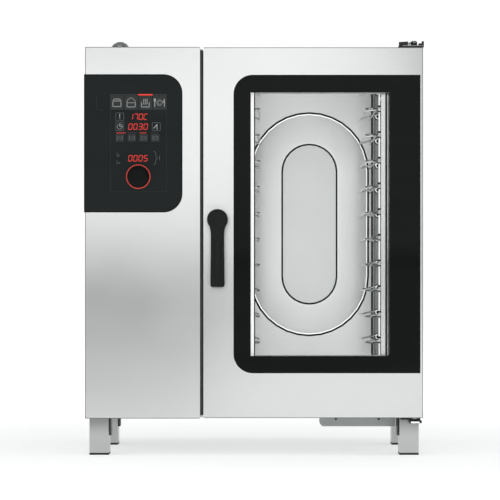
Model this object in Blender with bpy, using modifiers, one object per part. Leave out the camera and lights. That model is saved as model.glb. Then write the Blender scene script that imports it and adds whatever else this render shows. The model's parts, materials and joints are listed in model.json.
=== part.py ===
"""Combi steamer oven, table-top, ten shelves, door hinged on the right.

Metres, +Z up, front towards -Y. The origin is on the floor, at the middle of the whole oven's footprint.
Each sub-part is one object. Parts that move have their origin on their joint's axis.
"""

import math

import bmesh
import bpy
from mathutils import Matrix, Vector

# Overall cabinet
HALF_WIDTH = 0.4375
BODY_BOTTOM = 0.096
BODY_TOP = 1.058
FRONT = -0.3785
REAR = 0.4135
SHEET = 0.0015
GAP = 0.0003
OVERHANG = 0.440  # half the width over the control glass and the hinge brackets
REAR_REACH = 0.4435  # water and drain stubs end here, behind the rear panel

# Front: control front on the left, door on the right, a seal between them
CONTROL_RIGHT = -0.1398
DOOR_LEFT = -0.131
FRAME_FRONT = -0.3145  # front face of the frame round the cavity mouth
SIDE_LOW = BODY_BOTTOM + SHEET + GAP
SIDE_HIGH = BODY_TOP - SHEET - GAP
PARTITION_X = -0.141

# Door
HINGE = (0.415, -0.3585)
DOOR_BOTTOM = 0.0972
DOOR_TOP = 1.0568
SHELL_BACK = -0.3285
PANE_FRONT = -0.3825
WINDOW_X = (-0.0085, 0.3508)
WINDOW_Z = (0.258, 0.940)
GLASS_X = (-0.053, 0.4305)
GLASS_Z = (0.2133, 0.9855)
GLASS_CORNER = 0.050
INNER_PANEL_Y = (-0.3282, -0.3225)
INNER_GLASS_Y = (-0.3327, -0.3287)
LATCH_AXIS = (-0.0937, 0.610)

# Cooking cavity, inside faces
CAVITY_X = 0.15325
CAVITY_HALF = 0.215
CAVITY_Z = (0.225, 1.002)
CAVITY_BACK = 0.335
BAFFLE_Y = 0.255
WATER_HEIGHT = 0.612  # the injection pipe enters here, midway between the fans
WATER_Y = 0.2643
WATER_HOLE = 0.006
OVAL_Z = (0.464, 0.760)  # centres of the oval's two round ends, which are the fan centres too
FAN_RADIUS = 0.122
MOTOR_FRONT = 0.3775
SHAFT_RADIUS = 0.008

# Racks
SHELVES = 11
SHELF_LOW = 0.292
SHELF_PITCH = 0.068
RAIL_INNER = 0.137
RAIL_OUTER = 0.181
RAIL_Y = (-0.300, 0.232)
POST_Y = (-0.215, 0.150)

# Controls
CONTROL_GLASS_Z = (0.6296, 0.987)
CONTROL_GLASS_RIGHT = -0.1854
CONTROL_CORNER = 0.049
DISPLAY_X = (-0.374, -0.223)
DISPLAY_Z = (0.750, 0.940)
DIAL = (-0.2995, 0.722)
KNOB_RADIUS = 0.0275
RING_RADIUS = 0.0318

# Stand
LEG_X = 0.403
LEG_Y = (-0.3085, 0.125)
LEG_WIDTH = 0.050
LEG_DEPTH = 0.080
LEG_WALL = 0.002
PAD = 0.005

# Services
EXHAUST = (-0.3829, 0.2680)
EXHAUST_AXIS_Z = 1.1034
EXHAUST_RADIUS = 0.0285
EXHAUST_END = 0.366
PIPE_RADIUS = 0.025
DRAIN_X = CAVITY_X
DRAIN_Y = 0.120
DRAIN_PIPE_Z = 0.142
INLET_X = -0.250
INLET_Z = 0.165
VALVE_HALF = 0.025

COLOURS = {
    "brushed_steel": ((0.62, 0.63, 0.63), 0.34, 1.0),
    "cavity_steel": ((0.66, 0.67, 0.67), 0.24, 1.0),
    "galvanised": ((0.47, 0.49, 0.50), 0.45, 1.0),
    "black_glass": ((0.012, 0.014, 0.014), 0.08, 0.0),
    "clear_glass": ((0.80, 0.86, 0.84), 0.03, 0.0),
    "black_plastic": ((0.013, 0.014, 0.014), 0.45, 0.0),
    "black_steel": ((0.02, 0.02, 0.022), 0.5, 0.3),
    "red_plastic": ((0.55, 0.02, 0.015), 0.35, 0.0),
    "rubber": ((0.02, 0.021, 0.022), 0.7, 0.0),
    "wool": ((0.42, 0.36, 0.22), 0.95, 0.0),
    "circuit_board": ((0.02, 0.12, 0.06), 0.5, 0.0),
    "brass": ((0.62, 0.45, 0.18), 0.3, 1.0),
    "motor_black": ((0.05, 0.05, 0.055), 0.5, 0.6),
}
materials = {}
for stale in list(bpy.data.objects):
    bpy.data.objects.remove(stale, do_unlink=True)
parts = bpy.data.collections.new("combi_steamer_oven")
cutters = bpy.data.collections.new("cutters")
cutters.hide_render = True
bpy.context.scene.collection.children.link(parts)
bpy.context.scene.collection.children.link(cutters)


# Building tools


def material(slot):
    if slot not in materials:
        colour, roughness, metallic = COLOURS[slot]
        made = bpy.data.materials.new(slot)
        made.use_nodes = True
        shader = made.node_tree.nodes["Principled BSDF"]
        shader.inputs["Base Color"].default_value = (*colour, 1.0)
        shader.inputs["Roughness"].default_value = roughness
        shader.inputs["Metallic"].default_value = metallic
        materials[slot] = made
    return materials[slot]


def add(name, mesh, slot, location=(0, 0, 0), turn=(0, 0, 0)):
    """A mesh as a part, or as a hidden cutter where slot is None."""
    made = bpy.data.objects.new(name, mesh)
    made.location = location
    made.rotation_euler = turn
    if slot is None:
        cutters.objects.link(made)
        made.hide_render = True
        made.display_type = "WIRE"
    else:
        parts.objects.link(made)
        mesh.materials.clear()
        mesh.materials.append(material(slot))
    return made


def box(name, x, y, z, slot=None):
    """A box from its three spans, each a (low, high) pair."""
    low = Vector((x[0], y[0], z[0]))
    high = Vector((x[1], y[1], z[1]))
    shape = bmesh.new()
    bmesh.ops.create_cube(shape, size=1, matrix=Matrix.Diagonal((*(high - low), 1)))
    mesh = bpy.data.meshes.new(name)
    shape.to_mesh(mesh)
    shape.free()
    return add(name, mesh, slot, (low + high) / 2)


def rod(name, radius, start, length, axis, slot=None, sides=24):
    """A cylinder that starts at a point and runs along +X, +Y or +Z."""
    turn = {"X": (0, math.pi / 2, 0), "Y": (-math.pi / 2, 0, 0), "Z": (0, 0, 0)}[axis]
    shape = bmesh.new()
    lift = Matrix.Translation((0, 0, length / 2))
    bmesh.ops.create_cone(
        shape, cap_ends=True, segments=sides, radius1=radius, radius2=radius, depth=length, matrix=lift
    )
    mesh = bpy.data.meshes.new(name)
    shape.to_mesh(mesh)
    shape.free()
    mesh.shade_smooth()
    mesh.set_sharp_from_angle(angle=math.radians(40))
    return add(name, mesh, slot, start, turn)


def curve_mesh(name, curve):
    """The mesh of a curve, with its caps welded on and its faces turned outwards."""
    guide = bpy.data.objects.new(name, curve)
    cutters.objects.link(guide)
    bpy.context.view_layer.update()
    mesh = bpy.data.meshes.new_from_object(guide.evaluated_get(bpy.context.evaluated_depsgraph_get()))
    bpy.data.objects.remove(guide, do_unlink=True)
    mesh.name = name
    shape = bmesh.new()
    shape.from_mesh(mesh)
    bmesh.ops.remove_doubles(shape, verts=shape.verts, dist=1e-6)
    bmesh.ops.recalc_face_normals(shape, faces=shape.faces)
    shape.to_mesh(mesh)
    shape.free()
    return mesh


def plate(name, outlines, y, slot=None):
    """A flat sheet facing the front, between two Y planes. The outlines are X-Z points, holes included."""
    curve = bpy.data.curves.new(name, "CURVE")
    curve.dimensions = "2D"
    curve.fill_mode = "BOTH"
    curve.extrude = (y[1] - y[0]) / 2
    for outline in outlines:
        spline = curve.splines.new("POLY")
        spline.points.add(len(outline) - 1)
        for point, (across, up) in zip(spline.points, outline):
            point.co = (across, up, 0, 1)
        spline.use_cyclic_u = True
    middle = (0, (y[0] + y[1]) / 2, 0)
    return add(name, curve_mesh(name, curve), slot, middle, (math.pi / 2, 0, 0))


def pipe(name, route, radius, slot=None, bevel=2, capped=True):
    """A round bar along a route of points. Left open, it is a skin for Solidify."""
    curve = bpy.data.curves.new(name, "CURVE")
    curve.dimensions = "3D"
    curve.bevel_depth = radius
    curve.bevel_resolution = bevel
    curve.use_fill_caps = capped
    spline = curve.splines.new("POLY")
    spline.points.add(len(route) - 1)
    for point, place in zip(spline.points, route):
        point.co = (*place, 1)
    mesh = curve_mesh(name, curve)
    mesh.shade_smooth()
    mesh.set_sharp_from_angle(angle=math.radians(50))
    return add(name, mesh, slot)


def turned(name, profile, location, slot=None, steps=32):
    """A turned shape about a front-to-back axis. The profile is (radius, forward) points, front end first."""
    mesh = bpy.data.meshes.new(name)
    points = [(radius, 0, forward) for radius, forward in profile]
    mesh.from_pydata(points, [(i, i + 1) for i in range(len(points) - 1)], [])
    made = add(name, mesh, slot, location, (math.pi / 2, 0, 0))
    screw = made.modifiers.new("turn", "SCREW")
    screw.steps = steps
    screw.render_steps = steps
    screw.use_merge_vertices = True
    screw.merge_threshold = 0.00001
    screw.use_smooth_shade = True
    return made


def boolean(target, operation, others):
    for other in others:
        step = target.modifiers.new(other.name, "BOOLEAN")
        step.operation = operation
        step.object = other
        step.solver = "EXACT"
    return target


def cut(target, *others):
    return boolean(target, "DIFFERENCE", others)


def join(target, *others):
    return boolean(target, "UNION", others)


def arc(centre, radius, start, end, steps):
    """Points on an arc in degrees, both ends included."""
    angles = [math.radians(start + (end - start) * i / steps) for i in range(steps + 1)]
    return [(centre[0] + radius * math.cos(a), centre[1] + radius * math.sin(a)) for a in angles]


def rounded(x, z, radii, steps=6):
    """A rectangle with its own radius at each corner: lower left, lower right, upper right, upper left."""
    corners = [(x[0], z[0], 1, 1), (x[1], z[0], -1, 1), (x[1], z[1], -1, -1), (x[0], z[1], 1, -1)]
    outline = []
    for index, ((cx, cz, inward_x, inward_z), radius) in enumerate(zip(corners, radii)):
        centre = (cx + inward_x * radius, cz + inward_z * radius)
        if radius == 0:
            outline.append((cx, cz))
        else:
            outline += arc(centre, radius, 180 + 90 * index, 270 + 90 * index, steps)
    return outline


def oval(radius, steps=14):
    """The upright oval about the two fan centres."""
    upper = arc((CAVITY_X, OVAL_Z[1]), radius, 0, 180, steps)
    lower = arc((CAVITY_X, OVAL_Z[0]), radius, 180, 360, steps)
    return upper + lower


def circle(centre, radius, steps=24):
    return arc(centre, radius, 0, 360, steps)[:-1]


def put_origin(made, point):
    """Moves an unturned object's origin to a point on its joint's axis, and leaves its shape where it is."""
    offset = made.location - Vector(point)
    made.data.transform(Matrix.Translation(made.rotation_euler.to_matrix().inverted() @ offset))
    made.location = point
    return made


# Casing


def casing():
    inside = HALF_WIDTH - SHEET - GAP
    width = (-HALF_WIDTH, HALF_WIDTH)
    depth = (FRAME_FRONT, REAR - SHEET - GAP)
    height = (BODY_BOTTOM, SIDE_HIGH)
    box("base_plate", (-inside, inside), depth, (BODY_BOTTOM, BODY_BOTTOM + SHEET), "galvanised")
    box("left_side_panel", (-HALF_WIDTH, SHEET - HALF_WIDTH), depth, height, "brushed_steel")
    box("right_side_panel", (HALF_WIDTH - SHEET, HALF_WIDTH), depth, height, "brushed_steel")
    rear = box("rear_panel", width, (REAR - SHEET, REAR), height, "brushed_steel")
    drain_hole = rod("drain_hole", PIPE_RADIUS + 0.002, (DRAIN_X, REAR - 0.01, DRAIN_PIPE_Z), 0.02, "Y")
    inlet_hole = rod("inlet_hole", 0.015, (INLET_X, REAR - 0.01, INLET_Z), 0.02, "Y")
    cut(rear, drain_hole, inlet_hole)
    roof = box("roof_panel", width, (FRAME_FRONT, REAR), (BODY_TOP - SHEET, BODY_TOP), "brushed_steel")
    cut(roof, rod("exhaust_hole", EXHAUST_RADIUS + 0.002, (*EXHAUST, BODY_TOP - 0.01), 0.02, "Z"))
    wall_x = (PARTITION_X, PARTITION_X + SHEET)
    wall_y = (FRAME_FRONT + GAP, MOTOR_FRONT - SHEET)
    wall = box("partition_wall", wall_x, wall_y, (SIDE_LOW, SIDE_HIGH), "galvanised")
    cut(wall, water_hole("pipe_slot", PARTITION_X, 0.02))


def water_hole(name, x, length):
    """The cutter of the hole that the injection pipe passes through, just before a wall's left face."""
    return rod(name, WATER_HOLE, (x - 0.01, WATER_Y, WATER_HEIGHT), length, "X", sides=12)


def control_front():
    x = (-HALF_WIDTH, CONTROL_RIGHT)
    back = FRAME_FRONT - GAP
    front = box("control_front", x, (FRONT, back), (BODY_BOTTOM, BODY_TOP), "brushed_steel")
    inner_x = (x[0] + SHEET, x[1] - SHEET)
    inner_z = (BODY_BOTTOM + SHEET, BODY_TOP - SHEET)
    pocket = box("control_pocket", inner_x, (FRONT + SHEET, back + 0.01), inner_z)
    window = box("display_cutout", DISPLAY_X, (FRONT - 0.01, FRONT + 0.01), DISPLAY_Z)
    shaft_hole = rod("shaft_hole", 0.008, (DIAL[0], FRONT - 0.01, DIAL[1]), 0.02, "Y", sides=16)
    cut(front, pocket, window, shaft_hole)
    seal_x = (CONTROL_RIGHT + 0.0005, DOOR_LEFT - 0.0015)
    seal_z = (BODY_BOTTOM + 0.008, BODY_TOP - 0.008)
    seal = box("edge_seal", seal_x, (FRONT + 0.0025, FRAME_FRONT - 0.003), seal_z, "rubber")
    lip_x = (seal_x[0] + 0.0021, seal_x[1] - 0.0021)
    lip_z = (seal_z[0] + 0.0005, seal_z[1] - 0.0005)
    join(seal, box("seal_lip", lip_x, (FRONT + 0.0012, FRONT + 0.01), lip_z))


def front_frame():
    x = (CONTROL_RIGHT + 0.0006, HALF_WIDTH - SHEET - GAP)
    outer = rounded(x, (SIDE_LOW, SIDE_HIGH), (0, 0, 0, 0))
    mouth_x = (CAVITY_X - CAVITY_HALF, CAVITY_X + CAVITY_HALF)
    mouth = rounded(mouth_x, CAVITY_Z, (0.006,) * 4, 3)
    plate("front_frame", [outer, mouth], (FRAME_FRONT, FRAME_FRONT + SHEET), "brushed_steel")
    grown = 0.0145
    gasket_x = (mouth_x[0] - grown, mouth_x[1] + grown)
    gasket_z = (CAVITY_Z[0] - grown, CAVITY_Z[1] + grown)
    ring_x = (mouth_x[0] - 0.002, mouth_x[1] + 0.002)
    ring_z = (CAVITY_Z[0] - 0.002, CAVITY_Z[1] + 0.002)
    rings = [rounded(gasket_x, gasket_z, (0.016,) * 4, 4), rounded(ring_x, ring_z, (0.006,) * 4, 4)]
    plate("door_gasket", rings, (INNER_PANEL_Y[1] + 0.0005, FRAME_FRONT - GAP), "rubber")


# Cooking cabinet


def cavity():
    front = FRAME_FRONT + SHEET + GAP
    x = (CAVITY_X - CAVITY_HALF, CAVITY_X + CAVITY_HALF)
    outer_x = (x[0] - SHEET, x[1] + SHEET)
    outer_z = (CAVITY_Z[0] - SHEET, CAVITY_Z[1] + SHEET)
    shell = box("cavity_shell", outer_x, (front, CAVITY_BACK + SHEET), outer_z, "cavity_steel")
    hollow = box("cavity_hollow", x, (front - 0.01, CAVITY_BACK), CAVITY_Z)
    drain = rod("cavity_drain", 0.017, (DRAIN_X, DRAIN_Y, CAVITY_Z[0] - 0.01), 0.02, "Z", sides=20)
    cut(shell, hollow, drain, water_hole("cavity_water_hole", x[0], 0.02))
    for index, height in enumerate(OVAL_Z):
        start = (CAVITY_X, CAVITY_BACK - 0.01, height)
        cut(shell, rod(f"shaft_opening_{index}", 0.012, start, 0.02, "Y", sides=16))


def insulation():
    thick = 0.040
    clear = SHEET + GAP
    inner_x = (CAVITY_X - CAVITY_HALF - clear, CAVITY_X + CAVITY_HALF + clear)
    inner_z = (CAVITY_Z[0] - clear, CAVITY_Z[1] + clear)
    outer_x = (inner_x[0] - thick, inner_x[1] + thick)
    outer_z = (inner_z[0] - thick, inner_z[1] + thick)
    front = FRAME_FRONT + SHEET + 0.0005
    wool = box("insulation", outer_x, (front, CAVITY_BACK + clear + thick), outer_z, "wool")
    hollow = box("wool_hollow", inner_x, (front - 0.01, CAVITY_BACK + clear), inner_z)
    drain = rod("wool_drain", 0.022, (DRAIN_X, DRAIN_Y, outer_z[0] - 0.01), 0.06, "Z", sides=20)
    cut(wool, hollow, drain, water_hole("wool_water_hole", outer_x[0], thick + 0.02))
    for index, height in enumerate(OVAL_Z):
        start = (CAVITY_X, CAVITY_BACK - 0.01, height)
        cut(wool, rod(f"wool_shaft_{index}", 0.014, start, thick + 0.02, "Y", sides=16))


def baffle():
    half = 0.1745
    x = (CAVITY_X - half, CAVITY_X + half)
    z = (CAVITY_Z[0] + 0.010, CAVITY_Z[1] - 0.010)
    back = CAVITY_BACK - GAP
    panel = box("baffle_panel", x, (BAFFLE_Y, back), z, "cavity_steel")
    wide = (x[0] - 0.01, x[1] + 0.01)
    cut(panel, box("baffle_inside", wide, (BAFFLE_Y + SHEET, back + 0.01), (z[0] + SHEET, z[1] - SHEET)))
    cut(panel, plate("baffle_opening", [oval(0.1637)], (BAFFLE_Y - 0.01, BAFFLE_Y + 0.01)))


def air_guide():
    """The domed oval ring round the intake. Its rim sits behind the baffle panel."""
    flange = [(0.169, BAFFLE_Y + 0.0023), (0.1605, BAFFLE_Y + 0.0023)]
    dome = [(0.1585, BAFFLE_Y - 0.0050), (0.1500, BAFFLE_Y - 0.0080), (0.084, BAFFLE_Y - 0.0100)]
    sections = flange + dome + [(0.0772, BAFFLE_Y - 0.0075)]
    shape = bmesh.new()
    rows = [[shape.verts.new((x, y, z)) for x, z in oval(radius)] for radius, y in sections]
    for outer, inner in zip(rows, rows[1:]):
        for i in range(len(outer)):
            j = (i + 1) % len(outer)
            shape.faces.new((outer[i], outer[j], inner[j], inner[i]))
    bmesh.ops.recalc_face_normals(shape, faces=shape.faces)
    mesh = bpy.data.meshes.new("air_guide")
    shape.to_mesh(mesh)
    shape.free()
    guide = add("air_guide", mesh, "cavity_steel")
    wall = guide.modifiers.new("wall", "SOLIDIFY")
    wall.thickness = 0.0012
    wall.offset = 0
    return guide


def suction_plate():
    """The oval plate before the intake, on two spacers from the cavity's rear wall."""
    front = BAFFLE_Y - 0.0110
    cover = plate("suction_plate", [oval(0.0742, 12)], (front, front + SHEET), "cavity_steel")
    root = front + 0.0005
    for side in (-1, 1):
        start = (CAVITY_X + side * 0.05, root, WATER_HEIGHT)
        join(cover, rod(f"spacer_{side + 1}", 0.006, start, CAVITY_BACK - GAP - root, "Y", sides=10))


def heating_coil():
    """One tube wound round both fan wheels, with its two ends turned back to the rear wall."""
    turns = 3
    steps = 8
    radius = 0.145
    pitch = 0.018
    start_y = 0.272
    loop = oval(radius, steps)
    count = turns * len(loop)
    route = []
    for i in range(count + 1):
        x, z = loop[i % len(loop)]
        route.append((x, start_y + pitch * i / len(loop), z))
    first = route[0]
    route = [(first[0], first[1] + 0.001, first[2] - 0.03)] + route
    pipe("heating_coil", route, 0.0045, "brushed_steel", bevel=1)


def injection_pipe():
    """The water tube from the solenoid valve to the space between the fans."""
    bend = 0.012
    rise_y = 0.385
    route = [(INLET_X, rise_y, INLET_Z + VALVE_HALF + GAP), (INLET_X, rise_y, WATER_HEIGHT - bend)]
    route += [(INLET_X, rise_y - bend, WATER_HEIGHT), (INLET_X, WATER_Y + bend, WATER_HEIGHT)]
    route += [(INLET_X + bend, WATER_Y, WATER_HEIGHT), (0.085, WATER_Y, WATER_HEIGHT)]
    pipe("injection_pipe", route, 0.003, "brushed_steel", bevel=1)


def fan(which, height):
    """A motor behind the insulation, and its wheel on a shaft through the rear wall."""
    def on_axis(y):
        return (CAVITY_X, y, height)

    motor = rod(f"fan_motor_{which}", 0.056, on_axis(MOTOR_FRONT), 0.032, "Y", "motor_black", sides=32)
    cut(motor, rod(f"motor_bore_{which}", SHAFT_RADIUS + 0.001, on_axis(MOTOR_FRONT - 0.01), 0.028, "Y"))
    wheel = rod(f"fan_wheel_{which}", FAN_RADIUS, on_axis(0.3200), 0.0025, "Y", "cavity_steel", sides=36)
    hub = rod(f"fan_hub_{which}", 0.020, on_axis(0.3050), 0.024, "Y", sides=16)
    shaft = rod(f"fan_shaft_{which}", SHAFT_RADIUS, on_axis(0.3100), 0.080, "Y", sides=12)
    centre = (CAVITY_X, height)
    rims = [circle(centre, FAN_RADIUS, 36), circle(centre, FAN_RADIUS - 0.018, 36)]
    ring = plate(f"fan_ring_{which}", rims, (0.2790, 0.2810))
    blades = bpy.data.meshes.new(f"fan_blades_{which}")
    shape = bmesh.new()
    count = 12
    for i in range(count):
        spin = Matrix.Rotation(2 * math.pi * i / count, 4, "Y")
        place = Matrix.Translation((0.1115, 0, 0)) @ Matrix.Rotation(math.radians(25), 4, "Y")
        size = Matrix.Diagonal((0.016, 0.0420, 0.002, 1))
        bmesh.ops.create_cube(shape, size=1, matrix=spin @ place @ size)
    shape.to_mesh(blades)
    shape.free()
    blade_set = add(f"fan_blades_{which}", blades, None, on_axis(0.3003))
    join(wheel, hub, shaft, blade_set, ring)


def rack(side, name):
    """A hanging rack: one rail to a shelf, two posts, and studs that hang it off the cavity wall."""
    def across(near, far):
        ends = (CAVITY_X + side * near, CAVITY_X + side * far)
        return (min(ends), max(ends))

    posts = [
        box(f"{name}_post_{i}", across(RAIL_OUTER - 0.005, RAIL_OUTER), (y, y + 0.010), (0.245, 0.985))
        for i, y in enumerate(POST_Y)
    ]
    rails = bpy.data.meshes.new(f"{name}_rails")
    shape = bmesh.new()
    span = across(RAIL_INNER, RAIL_OUTER - 0.0025)
    for i in range(1, SHELVES):
        z = SHELF_LOW + i * SHELF_PITCH
        size = Matrix.Diagonal((span[1] - span[0], RAIL_Y[1] - RAIL_Y[0], 0.004, 1))
        place = Matrix.Translation((sum(span) / 2, sum(RAIL_Y) / 2, z))
        bmesh.ops.create_cube(shape, size=1, matrix=place @ size)
    shape.to_mesh(rails)
    shape.free()
    lowest = box(name, span, RAIL_Y, (SHELF_LOW - 0.002, SHELF_LOW + 0.002), "cavity_steel")
    studs = []
    for i, y in enumerate(POST_Y):
        for j, z in enumerate((0.300, 0.930)):
            reach = across(RAIL_OUTER - 0.002, CAVITY_HALF - GAP)
            studs.append(box(f"{name}_stud_{i}_{j}", reach, (y + 0.001, y + 0.009), (z, z + 0.008)))
    join(lowest, *posts, add(f"{name}_rails", rails, None), *studs)


# Services


def elbow_route(centre, bend, low, far, steps=8):
    """Straight up, round a quarter bend to the rear, and straight back."""
    x, y = centre
    corner = (y + bend, EXHAUST_AXIS_Z - bend)
    route = [(x, y, low)]
    for cy, cz in arc(corner, bend, 180, 90, steps):
        route.append((x, cy, cz))
    return route + [(x, far, EXHAUST_AXIS_Z)]


def open_pipe(name, route, radius, wall, slot):
    tube = pipe(name, route, radius, slot, bevel=5, capped=False)
    skin = tube.modifiers.new("wall", "SOLIDIFY")
    skin.thickness = wall
    skin.offset = -1
    return tube


def services():
    route = elbow_route(EXHAUST, 0.0385, BODY_TOP - 0.068, EXHAUST_END)
    open_pipe("exhaust_elbow", route, EXHAUST_RADIUS, SHEET, "brushed_steel")
    tank = box("drain_box", (0.073, 0.233), (0.070, 0.300), (0.108, 0.172), "galvanised")
    riser_low = 0.165
    riser_length = CAVITY_Z[0] - SHEET - GAP - riser_low
    join(tank, rod("drain_riser", 0.020, (DRAIN_X, DRAIN_Y, riser_low), riser_length, "Z", sides=20))
    inner = box("tank_hollow", (0.075, 0.231), (0.072, 0.298), (0.110, 0.170))
    bore = rod("riser_bore", 0.018, (DRAIN_X, DRAIN_Y, 0.150), 0.1, "Z", sides=20)
    mouth = rod("tank_mouth", PIPE_RADIUS - SHEET, (DRAIN_X, 0.290, DRAIN_PIPE_Z), 0.02, "Y")
    cut(tank, inner, bore, mouth)
    pipe_start = (DRAIN_X, 0.300 + GAP, DRAIN_PIPE_Z)
    outlet = rod("drain_pipe", PIPE_RADIUS, pipe_start, REAR_REACH - pipe_start[1], "Y", "galvanised")
    cut(outlet, rod("drain_bore", PIPE_RADIUS - 0.002, (DRAIN_X, 0.290, DRAIN_PIPE_Z), 0.2, "Y"))
    valve_x = (INLET_X - 0.030, INLET_X + 0.030)
    valve_z = (INLET_Z - VALVE_HALF, INLET_Z + VALVE_HALF)
    valve = box("solenoid_valve", valve_x, (0.365, 0.405), valve_z, "black_plastic")
    thread = rod("inlet_thread", 0.0132, (INLET_X, 0.400, INLET_Z), REAR_REACH - 0.400, "Y", sides=20)
    join(valve, thread)
    cut(valve, rod("inlet_bore", 0.009, (INLET_X, 0.385, INLET_Z), 0.1, "Y", sides=16))
    box("electrics_plate", (-0.4200, -0.4185), (-0.200, 0.200), (0.250, 0.900), "galvanised")
    block = box("contactor", (-0.4182, -0.350), (-0.060, 0.000), (0.700, 0.790), "black_plastic")
    for step in range(3):
        y = -0.052 + 0.018 * step
        cut(block, box(f"terminal_{step}", (-0.360, -0.340), (y, y + 0.008), (0.775, 0.800)))


def condensate_tray():
    x = (0.172, 0.368)
    z = (0.0715, BODY_BOTTOM - GAP)
    y = (-0.300, -0.200)
    chamfer = 0.010
    outline = [(x[0], z[1]), (x[0], z[1] - 0.009), (x[0] + chamfer, z[0]), (x[1], z[0]), (x[1], z[1])]
    tray = plate("condensate_tray", [outline], y, "galvanised")
    inner = (y[0] + SHEET, y[1] - SHEET)
    cut(tray, box("tray_hollow", (x[0] + 0.0115, x[1] - SHEET), inner, (z[0] + SHEET, z[1] + 0.01)))


# Stand


def stand():
    corners = {"front_left": (-1, 0), "front_right": (1, 0), "rear_left": (-1, 1), "rear_right": (1, 1)}
    half_x = LEG_WIDTH / 2
    half_y = LEG_DEPTH / 2
    top = BODY_BOTTOM - GAP
    for corner, (side, row) in corners.items():
        x = side * LEG_X
        y = LEG_Y[row]
        low = PAD + GAP
        outer_x = (x - half_x, x + half_x)
        outer_y = (y - half_y, y + half_y)
        leg = box(f"leg_{corner}", outer_x, outer_y, (low, top), "galvanised")
        inner_x = (outer_x[0] + LEG_WALL, outer_x[1] - LEG_WALL)
        inner_y = (outer_y[0] + LEG_WALL, outer_y[1] - LEG_WALL)
        hollow = box(f"leg_hollow_{corner}", inner_x, inner_y, (low + 0.008, top + 0.01))
        nut = rod(f"leg_nut_{corner}", 0.0065, (x, y, low - 0.01), 0.03, "Z", sides=16)
        cut(leg, hollow, nut)
        pad = box(f"foot_{corner}", outer_x, outer_y, (0, PAD), "black_plastic")
        stem = rod(f"foot_stem_{corner}", 0.006, (x, y, PAD - 0.001), 0.046, "Z", sides=16)
        join(pad, stem)
        put_origin(pad, (x, y, 0))
        bracket(corner, side, y, top)


def bracket(corner, side, y, top):
    """The black gusset on a leg's inner face, with its two lower corners cut off."""
    thick = 0.005
    half_y = LEG_DEPTH / 2 - 0.004
    near = side * (LEG_X - LEG_WIDTH / 2 - GAP)
    far = near - side * thick
    x = (min(near, far), max(near, far))
    low = top - 0.046
    gusset = box(f"leg_bracket_{corner}", x, (y - half_y, y + half_y), (low, top), "black_steel")
    for end in (-1, 1):
        tip = box(f"gusset_tip_{corner}_{end + 1}", (-0.02, 0.02), (-0.008, 0.008), (-0.008, 0.008))
        tip.location = (sum(x) / 2, y + end * half_y, low)
        tip.rotation_euler = (math.pi / 4, 0, 0)
        cut(gusset, tip)


# Hinges


def hinges():
    pin = 0.0050
    pin_hole = 0.0053
    x = (0.3755, OVERHANG)
    y = (-0.3760, -0.2600)
    rim_y = (y[0], y[0] + 0.012)
    low = BODY_TOP + GAP
    high = BODY_TOP + 0.0150
    root = low + 0.001
    top = box("hinge_bracket_top", x, y, (low, low + 0.0042), "black_steel")
    upstand_end = 0.3990
    slope = [(x[0], root), (upstand_end, root), (upstand_end, high - 0.0005), (x[0], high - 0.0020)]
    upstand = plate("bracket_upstand", [slope], rim_y)
    boss = rod("bracket_boss", 0.0085, (*HINGE, root), high - root, "Z")
    lug_x = (0.4262, x[1])
    hook = [(lug_x[0], root), (lug_x[1], root), (lug_x[1], high), (lug_x[1] - 0.0055, high)]
    hook += [(lug_x[1] - 0.0055, low + 0.0093), (lug_x[0], low + 0.0093)]
    lug = plate("bracket_lug", [hook], rim_y)
    join(top, upstand, boss, lug)
    cut(top, rod("top_pin_hole", pin_hole, (*HINGE, BODY_TOP - 0.01), 0.04, "Z", sides=20))
    shelf_z = (0.0837, 0.0900)
    arm_x = (LEG_X + LEG_WIDTH / 2 + 0.0005, 0.4345)  # passes the leg on its outer side
    arm_back = -0.295
    leg_front = LEG_Y[0] - LEG_DEPTH / 2
    shelf_y = (y[0], leg_front - 0.0005)
    foot = box("hinge_bracket_bottom", (0.4020, arm_x[1]), shelf_y, shelf_z, "black_steel")
    arm_z = (shelf_z[0] + 0.0005, shelf_z[1] - 0.0005)
    join(foot, box("bracket_arm", arm_x, (shelf_y[1] - 0.002, arm_back), arm_z))
    riser_z = (shelf_z[0] + 0.001, BODY_BOTTOM - GAP)
    join(foot, box("bracket_riser", arm_x, (arm_back - 0.012, arm_back - 0.0005), riser_z))
    cut(foot, rod("low_pin_hole", pin_hole, (*HINGE, 0.08), 0.02, "Z", sides=20))
    pin_low = BODY_TOP - 0.022
    rod("hinge_pin_top", pin, (*HINGE, pin_low), high + 0.001 - pin_low, "Z", "brushed_steel", sides=20)
    low_pin_start = (*HINGE, shelf_z[0] - 0.002)
    low_pin = rod("hinge_pin_bottom", pin, low_pin_start, 0.040, "Z", "brushed_steel", sides=20)
    join(low_pin, rod("pin_collar", 0.0085, (*HINGE, shelf_z[1] + GAP), 0.0065, "Z", sides=20))


# Controls


def controls():
    x = (-OVERHANG, CONTROL_GLASS_RIGHT)
    corners = (0.002, CONTROL_CORNER, CONTROL_CORNER, 0.002)
    outline = rounded(x, CONTROL_GLASS_Z, corners, 8)
    plate("control_glass", [outline, circle(DIAL, 0.008, 16)], (PANE_FRONT, FRONT - GAP), "black_glass")
    board_z = (DISPLAY_Z[0] - 0.005, DISPLAY_Z[1] + 0.005)
    board_x = (DISPLAY_X[0] - 0.005, DISPLAY_X[1] + 0.005)
    box("control_board", board_x, (FRONT + SHEET + GAP, FRONT + SHEET + 0.003), board_z, "circuit_board")
    ring_front = PANE_FRONT - 0.0022
    rings = [circle(DIAL, RING_RADIUS, 40), circle(DIAL, 0.0290, 40)]
    plate("dial_ring", rings, (ring_front, PANE_FRONT - GAP), "red_plastic")
    rod("dial_shaft", 0.0060, (DIAL[0], -0.3930, DIAL[1]), 0.045, "Y", "brushed_steel", sides=16)
    knob()


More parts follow.
